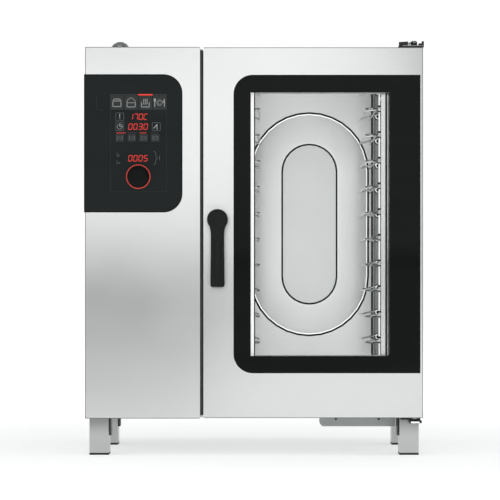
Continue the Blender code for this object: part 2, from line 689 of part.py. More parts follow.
def knob():
    """The domed dial: a cap with a blind bore for its shaft. Its profile runs from its tip outwards."""
    bore = 0.0063
    bore_end = 0.3935
    back = 0.3850
    front = 0.4050
    crown = 0.0050
    dome = []
    for angle in range(0, 91, 15):
        lean = math.radians(angle)
        dome.append((KNOB_RADIUS * math.sin(lean), front - crown + crown * math.cos(lean)))
    profile = dome + [(KNOB_RADIUS, back), (bore, back), (bore, bore_end), (0.0, bore_end)]
    turned("dial_knob", profile, (DIAL[0], 0, DIAL[1]), "black_plastic", 40)


# Door


def door():
    door_z = (DOOR_BOTTOM, DOOR_TOP)
    shell = box("door_shell", (DOOR_LEFT, HALF_WIDTH), (FRONT, SHELL_BACK), door_z, "brushed_steel")
    inner_x = (DOOR_LEFT + SHEET, HALF_WIDTH - SHEET)
    inner_z = (DOOR_BOTTOM + SHEET, DOOR_TOP - SHEET)
    margin = 0.004
    hole_x = (WINDOW_X[0] - margin, WINDOW_X[1] + margin)
    hole_z = (WINDOW_Z[0] - margin, WINDOW_Z[1] + margin)
    tube_x = (hole_x[0] - SHEET, hole_x[1] + SHEET)
    tube_z = (hole_z[0] - SHEET, hole_z[1] + SHEET)
    pocket = box("door_pocket", inner_x, (FRONT + SHEET, SHELL_BACK + 0.01), inner_z)
    core = box("window_core", tube_x, (FRONT - 0.01, SHELL_BACK + 0.02), tube_z)
    cut(pocket, core)
    hole = box("window_hole", hole_x, (FRONT - 0.01, SHELL_BACK + 0.01), hole_z)
    trim_x = (tube_x[0] - 0.02, tube_x[1] + 0.02)
    trim_z = (tube_z[0] - 0.02, tube_z[1] + 0.02)
    trim = box("window_tube_trim", trim_x, (INNER_GLASS_Y[0] - GAP, SHELL_BACK + 0.01), trim_z)
    pins = [
        rod("top_pin_way", 0.0056, (*HINGE, DOOR_TOP - 0.01), 0.02, "Z", sides=20),
        rod("low_pin_way", 0.0056, (*HINGE, DOOR_BOTTOM - 0.01), 0.02, "Z", sides=20),
    ]
    spindle = rod("spindle_way", 0.0080, (LATCH_AXIS[0], FRONT - 0.01, LATCH_AXIS[1]), 0.02, "Y", sides=16)
    cut(shell, pocket, hole, trim, spindle, *pins)
    put_origin(shell, (*HINGE, 0.0))
    window_panes()
    handle()


def window_panes():
    corners = (GLASS_CORNER, 0.001, 0.001, GLASS_CORNER)
    outline = rounded(GLASS_X, GLASS_Z, corners, 8)
    outer = plate("door_glass_outer", [outline], (PANE_FRONT, FRONT - GAP), "black_glass")
    margin = 0.014
    pane_x = (WINDOW_X[0] - margin, WINDOW_X[1] + margin)
    pane_z = (WINDOW_Z[0] - margin, WINDOW_Z[1] + margin)
    inner = box("door_glass_inner", pane_x, INNER_GLASS_Y, pane_z, "clear_glass")
    outline = rounded((-0.121, 0.405), (0.109, 1.045), (0.008,) * 4, 3)
    window = rounded(WINDOW_X, WINDOW_Z, (0.006,) * 4, 3)
    holes = [outline, window, circle(LATCH_AXIS, 0.008, 16)]
    panel = plate("door_inner_panel", holes, INNER_PANEL_Y, "brushed_steel")
    for piece in (outer, inner, panel):
        put_origin(piece, (*HINGE, 0.0))


def handle():
    """The rosette, the hanging lever with its spindle, and the latch hook on the spindle's end."""
    x, z = LATCH_AXIS
    rosette = rod("handle_rosette", 0.0245, (x, FRONT - 0.0053, z), 0.0050, "Y", "black_plastic", sides=32)
    cut(rosette, rod("rosette_bore", 0.0080, (x, FRONT - 0.01, z), 0.02, "Y", sides=16))
    put_origin(rosette, (*HINGE, 0.0))
    hub = rod("handle_lever", 0.0268, (x, -0.4300, z), 0.0459, "Y", "black_plastic", sides=36)
    half = [(0.0135, z - 0.010), (0.0155, z - 0.034), (0.0165, z - 0.060)]
    half += [(0.0178, z - 0.120), (0.0185, z - 0.166)]
    end = arc((0.0125, z - 0.168), 0.006, 0, -90, 3)
    right = half + end
    grip_outline = [(x + across, up) for across, up in right]
    grip_outline += [(x - across, up) for across, up in reversed(right)]
    grip = plate("lever_grip", [grip_outline], (-0.4435, -0.4190))
    spindle = rod("lever_spindle", 0.0060, (x, -0.3860, z), 0.0642, "Y", sides=16)
    join(hub, grip, spindle)
    put_origin(hub, (x, FRONT, z))
    hook_y = (-0.3215, -0.3185)
    shoulder = 0.009
    outline = [(x - shoulder, z - 0.010), (x + shoulder, z - 0.010), (x + shoulder, z + 0.010)]
    outline += [(x + 0.005, z + 0.024), (x - 0.004, z + 0.024), (x - shoulder, z + 0.010)]
    hook = plate("latch_hook", [outline], hook_y, "brushed_steel")
    put_origin(hook, (x, sum(hook_y) / 2, z))
    rod("strike_pin", 0.0050, (x, -0.3178, z + 0.018), 0.0030, "Y", "brushed_steel", sides=16)


casing()
control_front()
front_frame()
cavity()
insulation()
baffle()
air_guide()
suction_plate()
heating_coil()
injection_pipe()
fan("lower", OVAL_Z[0])
fan("upper", OVAL_Z[1])
rack(-1, "rack_left")
rack(1, "rack_right")
services()
condensate_tray()
stand()
hinges()
controls()
door()
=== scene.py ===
"""Looks of the combi steamer oven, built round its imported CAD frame. Metres, front towards -Y."""

import json
import math

import bmesh
import bpy
from mathutils import Matrix, Vector

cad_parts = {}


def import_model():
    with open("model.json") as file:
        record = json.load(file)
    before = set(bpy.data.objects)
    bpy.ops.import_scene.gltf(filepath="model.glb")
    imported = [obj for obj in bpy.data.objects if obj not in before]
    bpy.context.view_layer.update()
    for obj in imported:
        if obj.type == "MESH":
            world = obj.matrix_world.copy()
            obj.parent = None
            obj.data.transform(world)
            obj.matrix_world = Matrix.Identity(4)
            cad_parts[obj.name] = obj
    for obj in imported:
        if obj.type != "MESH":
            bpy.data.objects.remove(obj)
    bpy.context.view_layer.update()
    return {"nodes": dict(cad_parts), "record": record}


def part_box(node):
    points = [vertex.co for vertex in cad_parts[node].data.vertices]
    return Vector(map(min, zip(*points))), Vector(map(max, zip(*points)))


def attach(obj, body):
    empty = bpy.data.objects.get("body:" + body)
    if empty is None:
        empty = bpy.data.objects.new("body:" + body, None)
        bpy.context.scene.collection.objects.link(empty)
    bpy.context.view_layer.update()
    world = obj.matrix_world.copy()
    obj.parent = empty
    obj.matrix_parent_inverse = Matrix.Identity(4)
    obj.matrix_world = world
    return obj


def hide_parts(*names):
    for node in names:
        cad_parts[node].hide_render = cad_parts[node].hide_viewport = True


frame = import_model()
NODES = frame["nodes"]
JOINTS = {joint["name"]: joint for joint in frame["record"]["behaviour"]["joints"]}

# Places read from the frame
GLASS_LOW, GLASS_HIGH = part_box("control_glass")
PANE_LOW, PANE_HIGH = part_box("door_glass_outer")
SHELL_LOW, SHELL_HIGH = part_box("door_shell")
FRONT_LOW, FRONT_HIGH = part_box("control_front")
REAR_LOW, REAR_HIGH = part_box("rear_panel")
ROOF_LOW, ROOF_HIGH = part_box("roof_panel")
CAVITY_LOW, CAVITY_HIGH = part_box("cavity_shell")
LEVER_LOW, LEVER_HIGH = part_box("handle_lever")
DIAL = Vector(JOINTS["dial_turn"]["pos_m"])
LATCH = Vector(JOINTS["handle_turn"]["pos_m"])
HINGE = Vector(JOINTS["door_hinge"]["pos_m"])
PANE_CORNER = 0.05
WINDOW_SIDES = (0.0445, 0.0797)  # black border beside the window, left and right
WINDOW_ENDS = (0.0447, 0.0455)  # black border below and above the window
SKIN = 0.0002  # how far printed marks stand off the glass
SCREW = 0.0036  # radius of the common screw head
FRONT = (0, -1, 0)
REARWARD = (0, 1, 0)
UP = (0, 0, 1)
DOWN = (0, 0, -1)

# Studio
FLOOR_GLOW = 0.5  # round the object
FLOOR_FAR = 0.72
WORLD_LOW = 0.13  # the studio's grey near the horizon
WORLD_HIGH = 0.46
WORLD_RISE = (0.02, 0.45)  # the heights between which the grey brightens
FLOOR_REACH = (0.9, 2.6)  # the distances between which the floor brightens
LIGHT_Y = -2.4  # plane of the front softboxes


# Meshes


def finish_mesh(shape, name):
    mesh = bpy.data.meshes.new(name)
    bmesh.ops.recalc_face_normals(shape, faces=shape.faces)
    shape.to_mesh(mesh)
    shape.free()
    return mesh


def add_object(name, data):
    made = bpy.data.objects.new(name, data)
    bpy.context.scene.collection.objects.link(made)
    return made


def place_mesh(name, mesh, look, slot, body="oven", smooth=35, rounding=0.0, segments=2, stands_for=None):
    """Puts a mesh in the scene with its material and body, and hides the CAD node it stands for. The slot is
    not used.
    """
    made = add_object(name, mesh)
    mesh.materials.clear()
    mesh.materials.append(look)
    mesh.shade_smooth()
    mesh.set_sharp_from_angle(angle=math.radians(smooth))
    if rounding:
        round_edges(made, rounding, segments)
    if body:
        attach(made, body)
    if stands_for:
        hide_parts(stands_for)
    return made


def place(name, shape, look, slot, **finish):
    return place_mesh(name, finish_mesh(shape, name), look, slot, **finish)


def round_edges(made, width, segments=2):
    bevel = made.modifiers.new("edge", "BEVEL")
    bevel.width = width
    bevel.segments = segments
    bevel.limit_method = "ANGLE"
    bevel.angle_limit = math.radians(40)
    bevel.harden_normals = True


def add_box(shape, low, high):
    low = Vector(low)
    high = Vector(high)
    matrix = Matrix.Translation((low + high) / 2) @ Matrix.Diagonal((*(high - low), 1))
    bmesh.ops.create_cube(shape, size=1, matrix=matrix)


def boxes(name, corners, look, slot, **finish):
    """One piece made of boxes, each from its low corner to its high one."""
    shape = bmesh.new()
    for low, high in corners:
        add_box(shape, low, high)
    place(name, shape, look, slot, **finish)


def slab(name, low, high, look, slot, rounding=0.0, **finish):
    boxes(name, [(low, high)], look, slot, rounding=rounding, **finish)


def turn_to(axis):
    """The rotation that takes +Z to an axis."""
    return Vector((0, 0, 1)).rotation_difference(Vector(axis)).to_matrix().to_4x4()


def add_turned(shape, profile, centre, axis, steps=32):
    """A turned body from (radius, along) points. A profile that ends where it began makes a ring."""
    matrix = Matrix.Translation(centre) @ turn_to(axis)
    rows = []
    for radius, along in profile:
        if rows and (radius, along) == profile[0]:
            rows.append(rows[0])
            continue
        if radius == 0:
            rows.append([shape.verts.new(matrix @ Vector((0, 0, along)))])
            continue
        angles = [2 * math.pi * i / steps for i in range(steps)]
        ring = [Vector((radius * math.cos(a), radius * math.sin(a), along)) for a in angles]
        rows.append([shape.verts.new(matrix @ point) for point in ring])
    for lower, upper in zip(rows, rows[1:]):
        for i in range(steps):
            j = (i + 1) % steps
            corners = [lower[i % len(lower)], lower[j % len(lower)]]
            corners += [upper[j % len(upper)], upper[i % len(upper)]]
            shape.faces.new(list(dict.fromkeys(corners)))


def turned(name, profile, centre, axis, look, slot, steps=32, **finish):
    shape = bmesh.new()
    add_turned(shape, profile, centre, axis, steps)
    place(name, shape, look, slot, smooth=30, **finish)


def disc(radius, top, base=0.0, bevel=(0.0, 0.0)):
    """The profile of a disc, with its upper edge cut back by a bevel of (inwards, downwards)."""
    inwards, down = bevel
    if down:
        return [(0, base), (radius, base), (radius, top - down), (radius - inwards, top), (0, top)]
    return [(0, base), (radius, base), (radius, top), (0, top)]


def spaced(count, pitch):
    """Places at an even pitch, with their middle at zero."""
    return [(i - (count - 1) / 2) * pitch for i in range(count)]


def arc(centre, radius, start, end, steps):
    angles = [math.radians(start + (end - start) * i / steps) for i in range(steps + 1)]
    return [(centre[0] + radius * math.cos(a), centre[1] + radius * math.sin(a)) for a in angles]


def inset(span, distance):
    return span[0] + distance, span[1] - distance


def rounded(x, z, radii, steps=12):
    """A rectangle with its own radius at each corner: lower left, lower right, upper right, upper left."""
    corners = [(x[0], z[0], 1, 1), (x[1], z[0], -1, 1), (x[1], z[1], -1, -1), (x[0], z[1], 1, -1)]
    outline = []
    for index, ((cx, cz, inward_x, inward_z), radius) in enumerate(zip(corners, radii)):
        centre = (cx + inward_x * radius, cz + inward_z * radius)
        outline += arc(centre, radius, 180 + 90 * index, 270 + 90 * index, steps)
    return outline


def sheet(name, outlines, y, look, slot, rounding=0.0, **finish):
    """A flat sheet between two Y planes, from X-Z outlines with holes."""
    curve = bpy.data.curves.new(name, "CURVE")
    curve.dimensions = "2D"
    curve.fill_mode = "BOTH"
    curve.extrude = (y[1] - y[0]) / 2
    for outline in outlines:
        spline = curve.splines.new("POLY")
        spline.points.add(len(outline) - 1)
        for point, (across, up) in zip(spline.points, outline):
            point.co = (across, up, 0, 1)
        spline.use_cyclic_u = True
    guide = add_object(name, curve)
    bpy.context.view_layer.update()
    graph = bpy.context.evaluated_depsgraph_get()
    mesh = bpy.data.meshes.new_from_object(guide.evaluated_get(graph))
    bpy.data.objects.remove(guide, do_unlink=True)
    middle = (y[0] + y[1]) / 2
    mesh.transform(Matrix.Translation((0, middle, 0)) @ Matrix.Rotation(math.pi / 2, 4, "X"))
    shape = bmesh.new()
    shape.from_mesh(mesh)
    bmesh.ops.remove_doubles(shape, verts=shape.verts, dist=1e-6)
    bmesh.ops.dissolve_limit(shape, angle_limit=0.001, verts=shape.verts, edges=shape.edges)
    place(name, shape, look, slot, smooth=30, rounding=rounding, **finish)


def add_tube(shape, route, radius, sides=10):
    """A round rod along a route, with its rings turned smoothly from one point to the next."""
    points = [Vector(point) for point in route]
    ways = []
    for i in range(len(points)):
        before = points[max(i - 1, 0)]
        after = points[min(i + 1, len(points) - 1)]
        ways.append((after - before).normalized())
    across = ways[0].orthogonal().normalized()
    rings = []
    for point, way in zip(points, ways):
        across = (across - way * across.dot(way)).normalized()
        up = way.cross(across)
        ring = []
        for k in range(sides):
            angle = 2 * math.pi * k / sides
            ring.append(shape.verts.new(point + radius * (math.cos(angle) * across + math.sin(angle) * up)))
        rings.append(ring)
    for first, second in zip(rings, rings[1:]):
        for k in range(sides):
            j = (k + 1) % sides
            shape.faces.new((first[k], first[j], second[j], second[k]))
    shape.faces.new(rings[0])
    shape.faces.new(rings[-1])


# Materials


def fill(node, values):
    for socket, value in values.items():
        node.inputs[socket].default_value = value


def map_range(tree, value, low, high, from_low, from_high):
    """A value mapped smoothly from one range to another."""
    node = tree.nodes.new("ShaderNodeMapRange")
    node.interpolation_type = "SMOOTHSTEP"
    fill(node, {"From Min": from_low, "From Max": from_high, "To Min": low, "To Max": high})
    tree.links.new(value, node.inputs["Value"])
    return node.outputs["Result"]


class Look:
    """A node-based material that starts from one Principled shader."""

    def __init__(self, name, colour, roughness, metallic=0.0, specular=0.5):
        self.material = bpy.data.materials.new(name)
        self.material.use_nodes = True
        self.nodes = self.material.node_tree.nodes
        self.links = self.material.node_tree.links
        self.shader = self.nodes["Principled BSDF"]
        fill(self.shader, {"Base Color": (*colour, 1.0), "Roughness": roughness})
        fill(self.shader, {"Metallic": metallic, "Specular IOR Level": specular})
        self.colour = colour
        self.place = self.nodes.new("ShaderNodeTexCoord").outputs["Object"]

    def glow(self, colour, strength):
        fill(self.shader, {"Emission Color": (*colour, 1), "Emission Strength": strength})

    def add(self, kind, values, source, socket="Vector"):
        """The outputs of a new node that takes its values and one source."""
        node = self.nodes.new("ShaderNode" + kind)
        fill(node, values)
        self.links.new(source, node.inputs[socket])
        return node.outputs

    def drive(self, socket, output):
        self.links.new(output, self.shader.inputs[socket])

    def stretched(self, scale):
        return self.add("Mapping", {"Scale": scale}, self.place)["Vector"]

    def noise(self, scale, stretch=(1, 1, 1), detail=3.0, rough=0.55):
        values = {"Scale": scale, "Detail": detail, "Roughness": rough}
        return self.add("TexNoise", values, self.stretched(stretch))["Fac"]

    def spread(self, value, low, high, from_low=0.2, from_high=0.8):
        """A texture's value mapped to a range."""
        return map_range(self.material.node_tree, value, low, high, from_low, from_high)

    def tint(self, value, dark, light):
        """The base colour, varied by a texture between two shades."""
        mix = self.nodes.new("ShaderNodeMix")
        mix.data_type = "RGBA"
        darker = (*[part * dark for part in self.colour], 1)
        lighter = (*[min(part * light, 1) for part in self.colour], 1)
        fill(mix, {"A": darker, "B": lighter})
        self.links.new(self.spread(value, 0, 1), mix.inputs["Factor"])
        self.drive("Base Color", mix.outputs["Result"])

    def roughen(self, value, low, high):
        self.drive("Roughness", self.spread(value, low, high))

    def bump(self, value, strength, distance):
        values = {"Strength": strength, "Distance": distance}
        self.drive("Normal", self.add("Bump", values, value, "Height")["Normal"])


def brushed(name, colour, roughness, along, contrast=0.035, glow=0.0):
    """Steel with fine brush lines along one axis and faint smears. Glow is a painted highlight: an emission
    that makes a trim look lit.
    """
    look = Look(name, colour, roughness, 1.0)
    look.glow((1, 1, 1), glow)
    stretch = {"X": (1, 60, 60), "Y": (60, 1, 60), "Z": (60, 60, 1)}[along]
    lines = look.noise(14, stretch, 4.0, 0.7)
    look.tint(lines, 1 - contrast, 1 + contrast)
    clouds = look.noise(3.0, (1, 1, 1), 2.0)
    look.roughen(clouds, roughness - 0.02, roughness + 0.025)
    return look.material


def plain(name, colour, roughness, metallic=0.0, grain=900, relief=0.00006, specular=0.5, contrast=0.08):
    """A moulded or coated surface with a fine even grain and a little uneven wear."""
    look = Look(name, colour, roughness, metallic, specular)
    look.tint(look.noise(18, detail=4.0), 1 - contrast, 1 + contrast)
    look.roughen(look.noise(45), roughness - 0.05, roughness + 0.05)
    look.bump(look.noise(grain, detail=2.0), 0.25, relief)
    return look.material


def spangled(name, colour, roughness):
    """Galvanised sheet, with its crystal spangle."""
    look = Look(name, colour, roughness, 1.0)
    cells = look.add("TexVoronoi", {"Scale": 90}, look.stretched((1, 1, 1)))
    look.tint(cells["Distance"], 0.86, 1.1)
    look.roughen(look.noise(20), roughness - 0.06, roughness + 0.06)
    return look.material


def gloss_black(name, colour, specular):
    """Back-painted glass: almost black, with faint wiping marks in its gloss."""
    look = Look(name, colour, 0.07, 0.0, specular)
    smears = look.noise(5, (1, 1, 3), 4.0)
    look.tint(smears, 0.9, 1.12)
    look.roughen(look.noise(9, (1, 1, 2), 3.0), 0.05, 0.11)
    return look.material


def clear(name, colour, alpha):
    look = Look(name, colour, 0.02, 0.0, 0.3)
    fill(look.shader, {"Alpha": alpha})
    look.roughen(look.noise(7, (1, 1, 2), 3.0), 0.015, 0.04)
    return look.material


def lit(name, colour, glow, strength):
    """A lamp or lit segment behind the glass."""
    look = Look(name, colour, 0.4)
    look.glow(glow, strength)
    look.tint(look.noise(300), 0.92, 1.05)
    return look.material


def wool(name, colour):
    look = Look(name, colour, 0.95, 0.0, 0.2)
    fibres = look.noise(160, (1, 1, 4), 6.0, 0.7)
    look.tint(fibres, 0.7, 1.25)
    look.bump(fibres, 0.8, 0.002)
    return look.material


def leg_steel():
    """Bent leg steel with painted shade: darker towards the top, where the body shades it."""
    look = Look("leg_steel", (0.6, 0.615, 0.61), 0.36, 1.0)
    height = look.add("SeparateXYZ", {}, look.place)["Z"]
    # Painted shade: the colour darkens with height, up under the body.
    look.tint(look.spread(height, 0.3, 0.7, 0.1, 0.045), 0.52, 1.04)
    look.bump(look.noise(14, (60, 60, 1), 4.0, 0.7), 0.12, 0.00002)
    return look.material


STEEL = brushed("panel_steel", (0.78, 0.79, 0.788), 0.235, "X")
STEEL_UPRIGHT = brushed("side_steel", (0.64, 0.65, 0.648), 0.31, "Z")
CAVITY = brushed("cavity_steel", (0.8, 0.81, 0.805), 0.31, "Z", contrast=0.018)
BAFFLE = brushed("baffle_steel", (0.86, 0.87, 0.866), 0.5, "X", contrast=0.012)
# Painted highlight: a trim that glows though it is no lamp, used where an edge should look lit.
TRIM_PAINTED_GLOW = brushed("trim_steel_painted_glow", (0.95, 0.955, 0.95), 0.35, "Z", contrast=0.01, glow=0.35)
# Partly the plate's own upright brushing, partly painted shade: darker than the baffle so the plate stays
# dim where the cavity lamp falls brightest.
SUCTION_PAINTED_SHADE = brushed("suction_plate_steel_painted_shade", (0.7, 0.715, 0.71), 0.5, "Z")
# Lit copy of the rack steel: a painted highlight for the front post.
RACK_PAINTED_LIGHT = brushed("rack_steel_painted_light", (0.92, 0.93, 0.925), 0.4, "Z")
RACK = brushed("rack_steel", (0.5, 0.515, 0.51), 0.12, "Y", contrast=0.3)
# Shaded copy of the rack steel: painted shade for the rear post.
RACK_PAINTED_SHADE = brushed("rack_steel_painted_shade", (0.19, 0.2, 0.2), 0.31, "Z", contrast=0.6)
TRIM_GREY = brushed("trim_grey_steel", (0.3, 0.31, 0.31), 0.22, "Z", contrast=0.3)
TRAY = plain("tray_sheet", (0.4, 0.425, 0.42), 0.5, 0.6, specular=0.3, contrast=0.03)
LEG_PAINTED_SHADE = leg_steel()
# Painted shadow: dark strips along the edges of the control front and the door.
EDGE_SHADE = brushed("edge_shade_steel", (0.2, 0.205, 0.205), 0.35, "X", contrast=0.02)
EXHAUST = brushed("exhaust_steel", (0.24, 0.25, 0.25), 0.14, "Y", contrast=0.5)
PIN = brushed("turned_steel", (0.62, 0.63, 0.63), 0.25, "X")
GALVANISED = spangled("galvanised_sheet", (0.5, 0.52, 0.52), 0.42)
GLASS_BLACK = gloss_black("back_painted_glass", (0.0085, 0.0105, 0.01), 0.07)
CONTROL_BLACK = gloss_black("control_glass_black", (0.014, 0.018, 0.018), 0.09)
CLEAR = clear("clear_pane", (0.4, 0.45, 0.44), 0.014)
PLASTIC = plain("black_plastic", (0.008, 0.009, 0.009), 0.42, specular=0.18)
PLASTIC_GLOSS = plain("dial_black", (0.005, 0.006, 0.006), 0.34, grain=1400, relief=0.00002, specular=0.09)
FOOT = plain("foot_black", (0.008, 0.008, 0.008), 0.6)
RUBBER = plain("seal_rubber", (0.016, 0.018, 0.018), 0.65, grain=500)
RUBBER_GREY = plain("seal_lip_rubber", (0.055, 0.058, 0.057), 0.6, grain=500)
BLACK_STEEL = plain("black_coated_steel", (0.01, 0.01, 0.011), 0.45, 0.0, grain=700)
MOTOR = plain("motor_black_paint", (0.04, 0.04, 0.044), 0.45, grain=400)
BRASS = brushed("brass_fitting", (0.66, 0.5, 0.22), 0.3, "Y")
BOARD = plain("circuit_board_green", (0.02, 0.12, 0.06), 0.4)
WOOL = wool("mineral_wool", (0.45, 0.39, 0.24))
RED_LIT = lit("red_segments", (0.3, 0.01, 0.01), (1.0, 0.04, 0.02), 0.72)
RED_RING = lit("red_ring", (0.35, 0.03, 0.02), (1.0, 0.08, 0.04), 0.26)
RED_DIM = lit("red_dashes", (0.2, 0.01, 0.01), (1.0, 0.04, 0.03), 0.26)
INK = {"relief": 0.00001, "specular": 0.2}
MARK = plain("printed_grey", (0.52, 0.54, 0.54), 0.5, **INK)
MARK_DIM = plain("printed_dark_grey", (0.15, 0.16, 0.16), 0.5, **INK)
KEY_FIELD = plain("key_field", (0.036, 0.04, 0.04), 0.35, **INK)
# Painted shadow: a near-black sheet laid where there is only shade, in gaps, slots and holes and along
# edges.
SHADOW_GAP = plain("painted_shadow_black", (0.003, 0.003, 0.003), 0.8, specular=0.05)
LABEL = plain("label_silver", (0.55, 0.56, 0.56), 0.45, 0.6)

FINISHES = (
    (STEEL, ["control_front", "door_shell", "rear_panel", "roof_panel", "front_frame"]),
    (EXHAUST, ["exhaust_elbow"]),
    (STEEL_UPRIGHT, ["left_side_panel", "right_side_panel"]),
    (CAVITY, ["cavity_shell", "heating_coil", "injection_pipe", "fan_wheel_upper", "fan_wheel_lower"]),
    (BAFFLE, ["baffle_panel", "door_inner_panel"]),
    (SUCTION_PAINTED_SHADE, ["suction_plate"]),
    (GALVANISED, ["base_plate", "partition_wall", "drain_box", "drain_pipe", "electrics_plate"]),
    (WOOL, ["insulation"]),
    (RUBBER, ["door_gasket", "edge_seal"]),
    (MOTOR, ["fan_motor_upper", "fan_motor_lower"]),
    (BLACK_STEEL, ["hinge_bracket_top", "hinge_bracket_bottom"]),
    (PIN, ["hinge_pin_top", "hinge_pin_bottom", "dial_shaft", "strike_pin", "latch_hook"]),
    (PLASTIC, ["contactor", "solenoid_valve", "handle_rosette"]),
    (BOARD, ["control_board"]),
    (CLEAR, ["door_glass_inner"]),
)
EDGES = {
    "control_front": 0.0008,
    "door_shell": 0.0008,
    "roof_panel": 0.0006,
    "rear_panel": 0.0005,
    "handle_rosette": 0.001,
    "contactor": 0.0012,
    "latch_hook": 0.0004,
    "hinge_bracket_top": 0.0007,
    "hinge_bracket_bottom": 0.0007,
    "door_gasket": 0.0015,
}
# Name before the corner, look, edge radius and its steps
UNDERCARRIAGE = (
    ("leg_", LEG_PAINTED_SHADE, 0.003, 3),
    ("leg_bracket_", BLACK_STEEL, 0.0008, 2),
    ("foot_", FOOT, 0.0015, 2),
)


def finish_nodes():
    for look, names in FINISHES:
        for name in names:
            dress(NODES[name], look)
    for corner in ("front_left", "front_right", "rear_left", "rear_right"):
        for kind, look, width, segments in UNDERCARRIAGE:
            dress(NODES[kind + corner], look)
            round_edges(NODES[kind + corner], width, segments)
    for name, width in EDGES.items():
        round_edges(NODES[name], width)


def dress(node, look):
    for slot in node.material_slots:
        slot.material = look


def screw_heads(name, places, axis, radius=SCREW, look=PIN, slot="pin_steel", body="oven"):
    """Pan-head screws with a star recess, as one group."""
    shape = bmesh.new()
    for centre in places:
        height = radius * 0.55
        angles = [math.radians(angle) for angle in range(0, 76, 15)]
        dome = [(radius * math.cos(a), height * math.sin(a)) for a in angles]
        rim = radius * 0.42
        recess = [(rim, height * 0.96), (rim * 0.8, height * 0.45), (0, height * 0.4)]
        add_turned(shape, [(0, -0.0002), (radius, -0.0002)] + dome + recess, centre, axis, 18)
    place(name, shape, look, slot, body=body, smooth=40)


# Control panel


def stroke(shape, points, width, y, closed=False):
    """A flat printed line along X-Z points, a hair thick."""
    pairs = list(zip(points, points[1:]))
    if closed:
        pairs.append((points[-1], points[0]))
    for (x0, z0), (x1, z1) in pairs:
        length = math.hypot(x1 - x0, z1 - z0)
        middle = Matrix.Translation(((x0 + x1) / 2, y, (z0 + z1) / 2))
        lean = Matrix.Rotation(-math.atan2(z1 - z0, x1 - x0), 4, "Y")
        size = Matrix.Diagonal((length + width * 0.9, SKIN, width, 1))
        bmesh.ops.create_cube(shape, size=1, matrix=middle @ lean @ size)


def line(*points):
    return list(points), False


def loop(points):
    return points, True


def printed(name, strokes, look, width, lift=1.0):
    """A group of printed lines on the control glass. Each is (points, closed) about the dial's axis."""
    shape = bmesh.new()
    for points, closed in strokes:
        moved = [(DIAL.x + x, DIAL.z + z) for x, z in points]
        stroke(shape, moved, width, GLASS_LOW.y - SKIN * lift, closed)
    place(name, shape, look, "black_glass")


def box_loop(x, z, width, height):
    w = width / 2
    h = height / 2
    return loop([(x - w, z - h), (x + w, z - h), (x + w, z + h), (x - w, z + h)])


KEY = 0.0344
KEY_TALL = 0.0362
KEY_PITCH = 0.0368
KEY_ROW = 0.1913
SMALL_KEY = 0.0205
DIM_KEY = (0.021, 0.019)
FIRST_ROW = 0.1545
SECOND_ROW = 0.1294
LAMP_ROW = 0.1132
DIM_ROW = 0.1003
THIRD_ROW = 0.0475
KEY_COLUMNS = spaced(4, KEY_PITCH)
SMALL_COLUMNS = (-0.0479, -0.0167, 0.0135, 0.0441)
DISPLAY_TICKS = ((-0.0545, 0.004, 0.014), (-0.05, 0.004, 0.01), (-0.0545, -0.006, -0.015))
BRACE = [(0.04, 0.019), (0.045, 0.015), (0.045, 0.005), (0.05, 0), (0.045, -0.005), (0.045, -0.013)]
BRACE += [(0.04, -0.017)]


def key_fields():
    keys = [(x, KEY_ROW, KEY, KEY_TALL) for x in KEY_COLUMNS]
    keys += [(x, DIM_ROW, *DIM_KEY) for x in SMALL_COLUMNS]
    corners = []
    for x, z, width, height in keys:
        low = (DIAL.x + x - width / 2, GLASS_LOW.y - SKIN * 0.5, DIAL.z + z - height / 2)
        corners.append((low, (DIAL.x + x + width / 2, GLASS_LOW.y, DIAL.z + z + height / 2)))
    boxes("key_fields", corners, KEY_FIELD, "black_glass")


def pot(x, z, wide):
    return line((x - wide, z + 0.004), (x - wide, z - 0.008), (x + wide, z - 0.008), (x + wide, z + 0.004))


def mode_icons():
    """Lidded pot, pot with a cloud, waves over a tray, plate between fork and knife."""
    z = KEY_ROW
    a, b, c, d = KEY_COLUMNS
    lines = [pot(a, z - 0.002, 0.0105)]
    lid = ((-0.0105, 0.0045), (-0.007, 0.0095), (0.007, 0.0095), (0.0105, 0.0045))
    lines.append(loop([(a + x, z + up) for x, up in lid]))
    lines.append(pot(b, z - 0.003, 0.0105))
    cloud = arc((b - 0.006, z + 0.004), 0.0045, 90, 270, 5) + arc((b + 0.006, z + 0.004), 0.0045, -90, 90, 5)
    crown = arc((b, z + 0.0065), 0.006, 20, 160, 6)
    lines += [line(*cloud), line(*crown), line((b - 0.005, z), (b + 0.005, z))]
    lines.append(pot(c, z - 0.003, 0.01))
    wave = ((-0.001, -0.004), (0.001, 0), (-0.001, 0.004), (0.001, 0.009))
    for x in (c - 0.0045, c, c + 0.0045):
        lines.append(line(*[(x + aside, z + up) for aside, up in wave]))
    lines += [loop(arc((d, z), 0.0072, 0, 345, 16)), loop(arc((d, z), 0.0038, 0, 345, 12))]
    fork = d - 0.0125
    for x in (fork - 0.0018, fork, fork + 0.0018):
        lines.append(line((x, z + 0.003), (x, z + 0.01)))
    lines.append(line((fork, z + 0.003), (fork, z - 0.01)))
    knife = d + 0.0125
    lines.append(line((knife, z - 0.01), (knife, z + 0.01), (knife - 0.002, z + 0.006), (knife - 0.002, z)))
    printed("mode_icons", lines, MARK, 0.0014, 1.2)
    bars = {x: line((x - KEY / 2, z + 0.0205), (x + KEY / 2, z + 0.0205)) for x in KEY_COLUMNS}
    printed("key_top_bars", [bars[x] for x in (a, b, d)], KEY_FIELD, 0.0035)
    printed("key_top_bar_lit", [bars[c]], RED_LIT, 0.0034, 1.2)


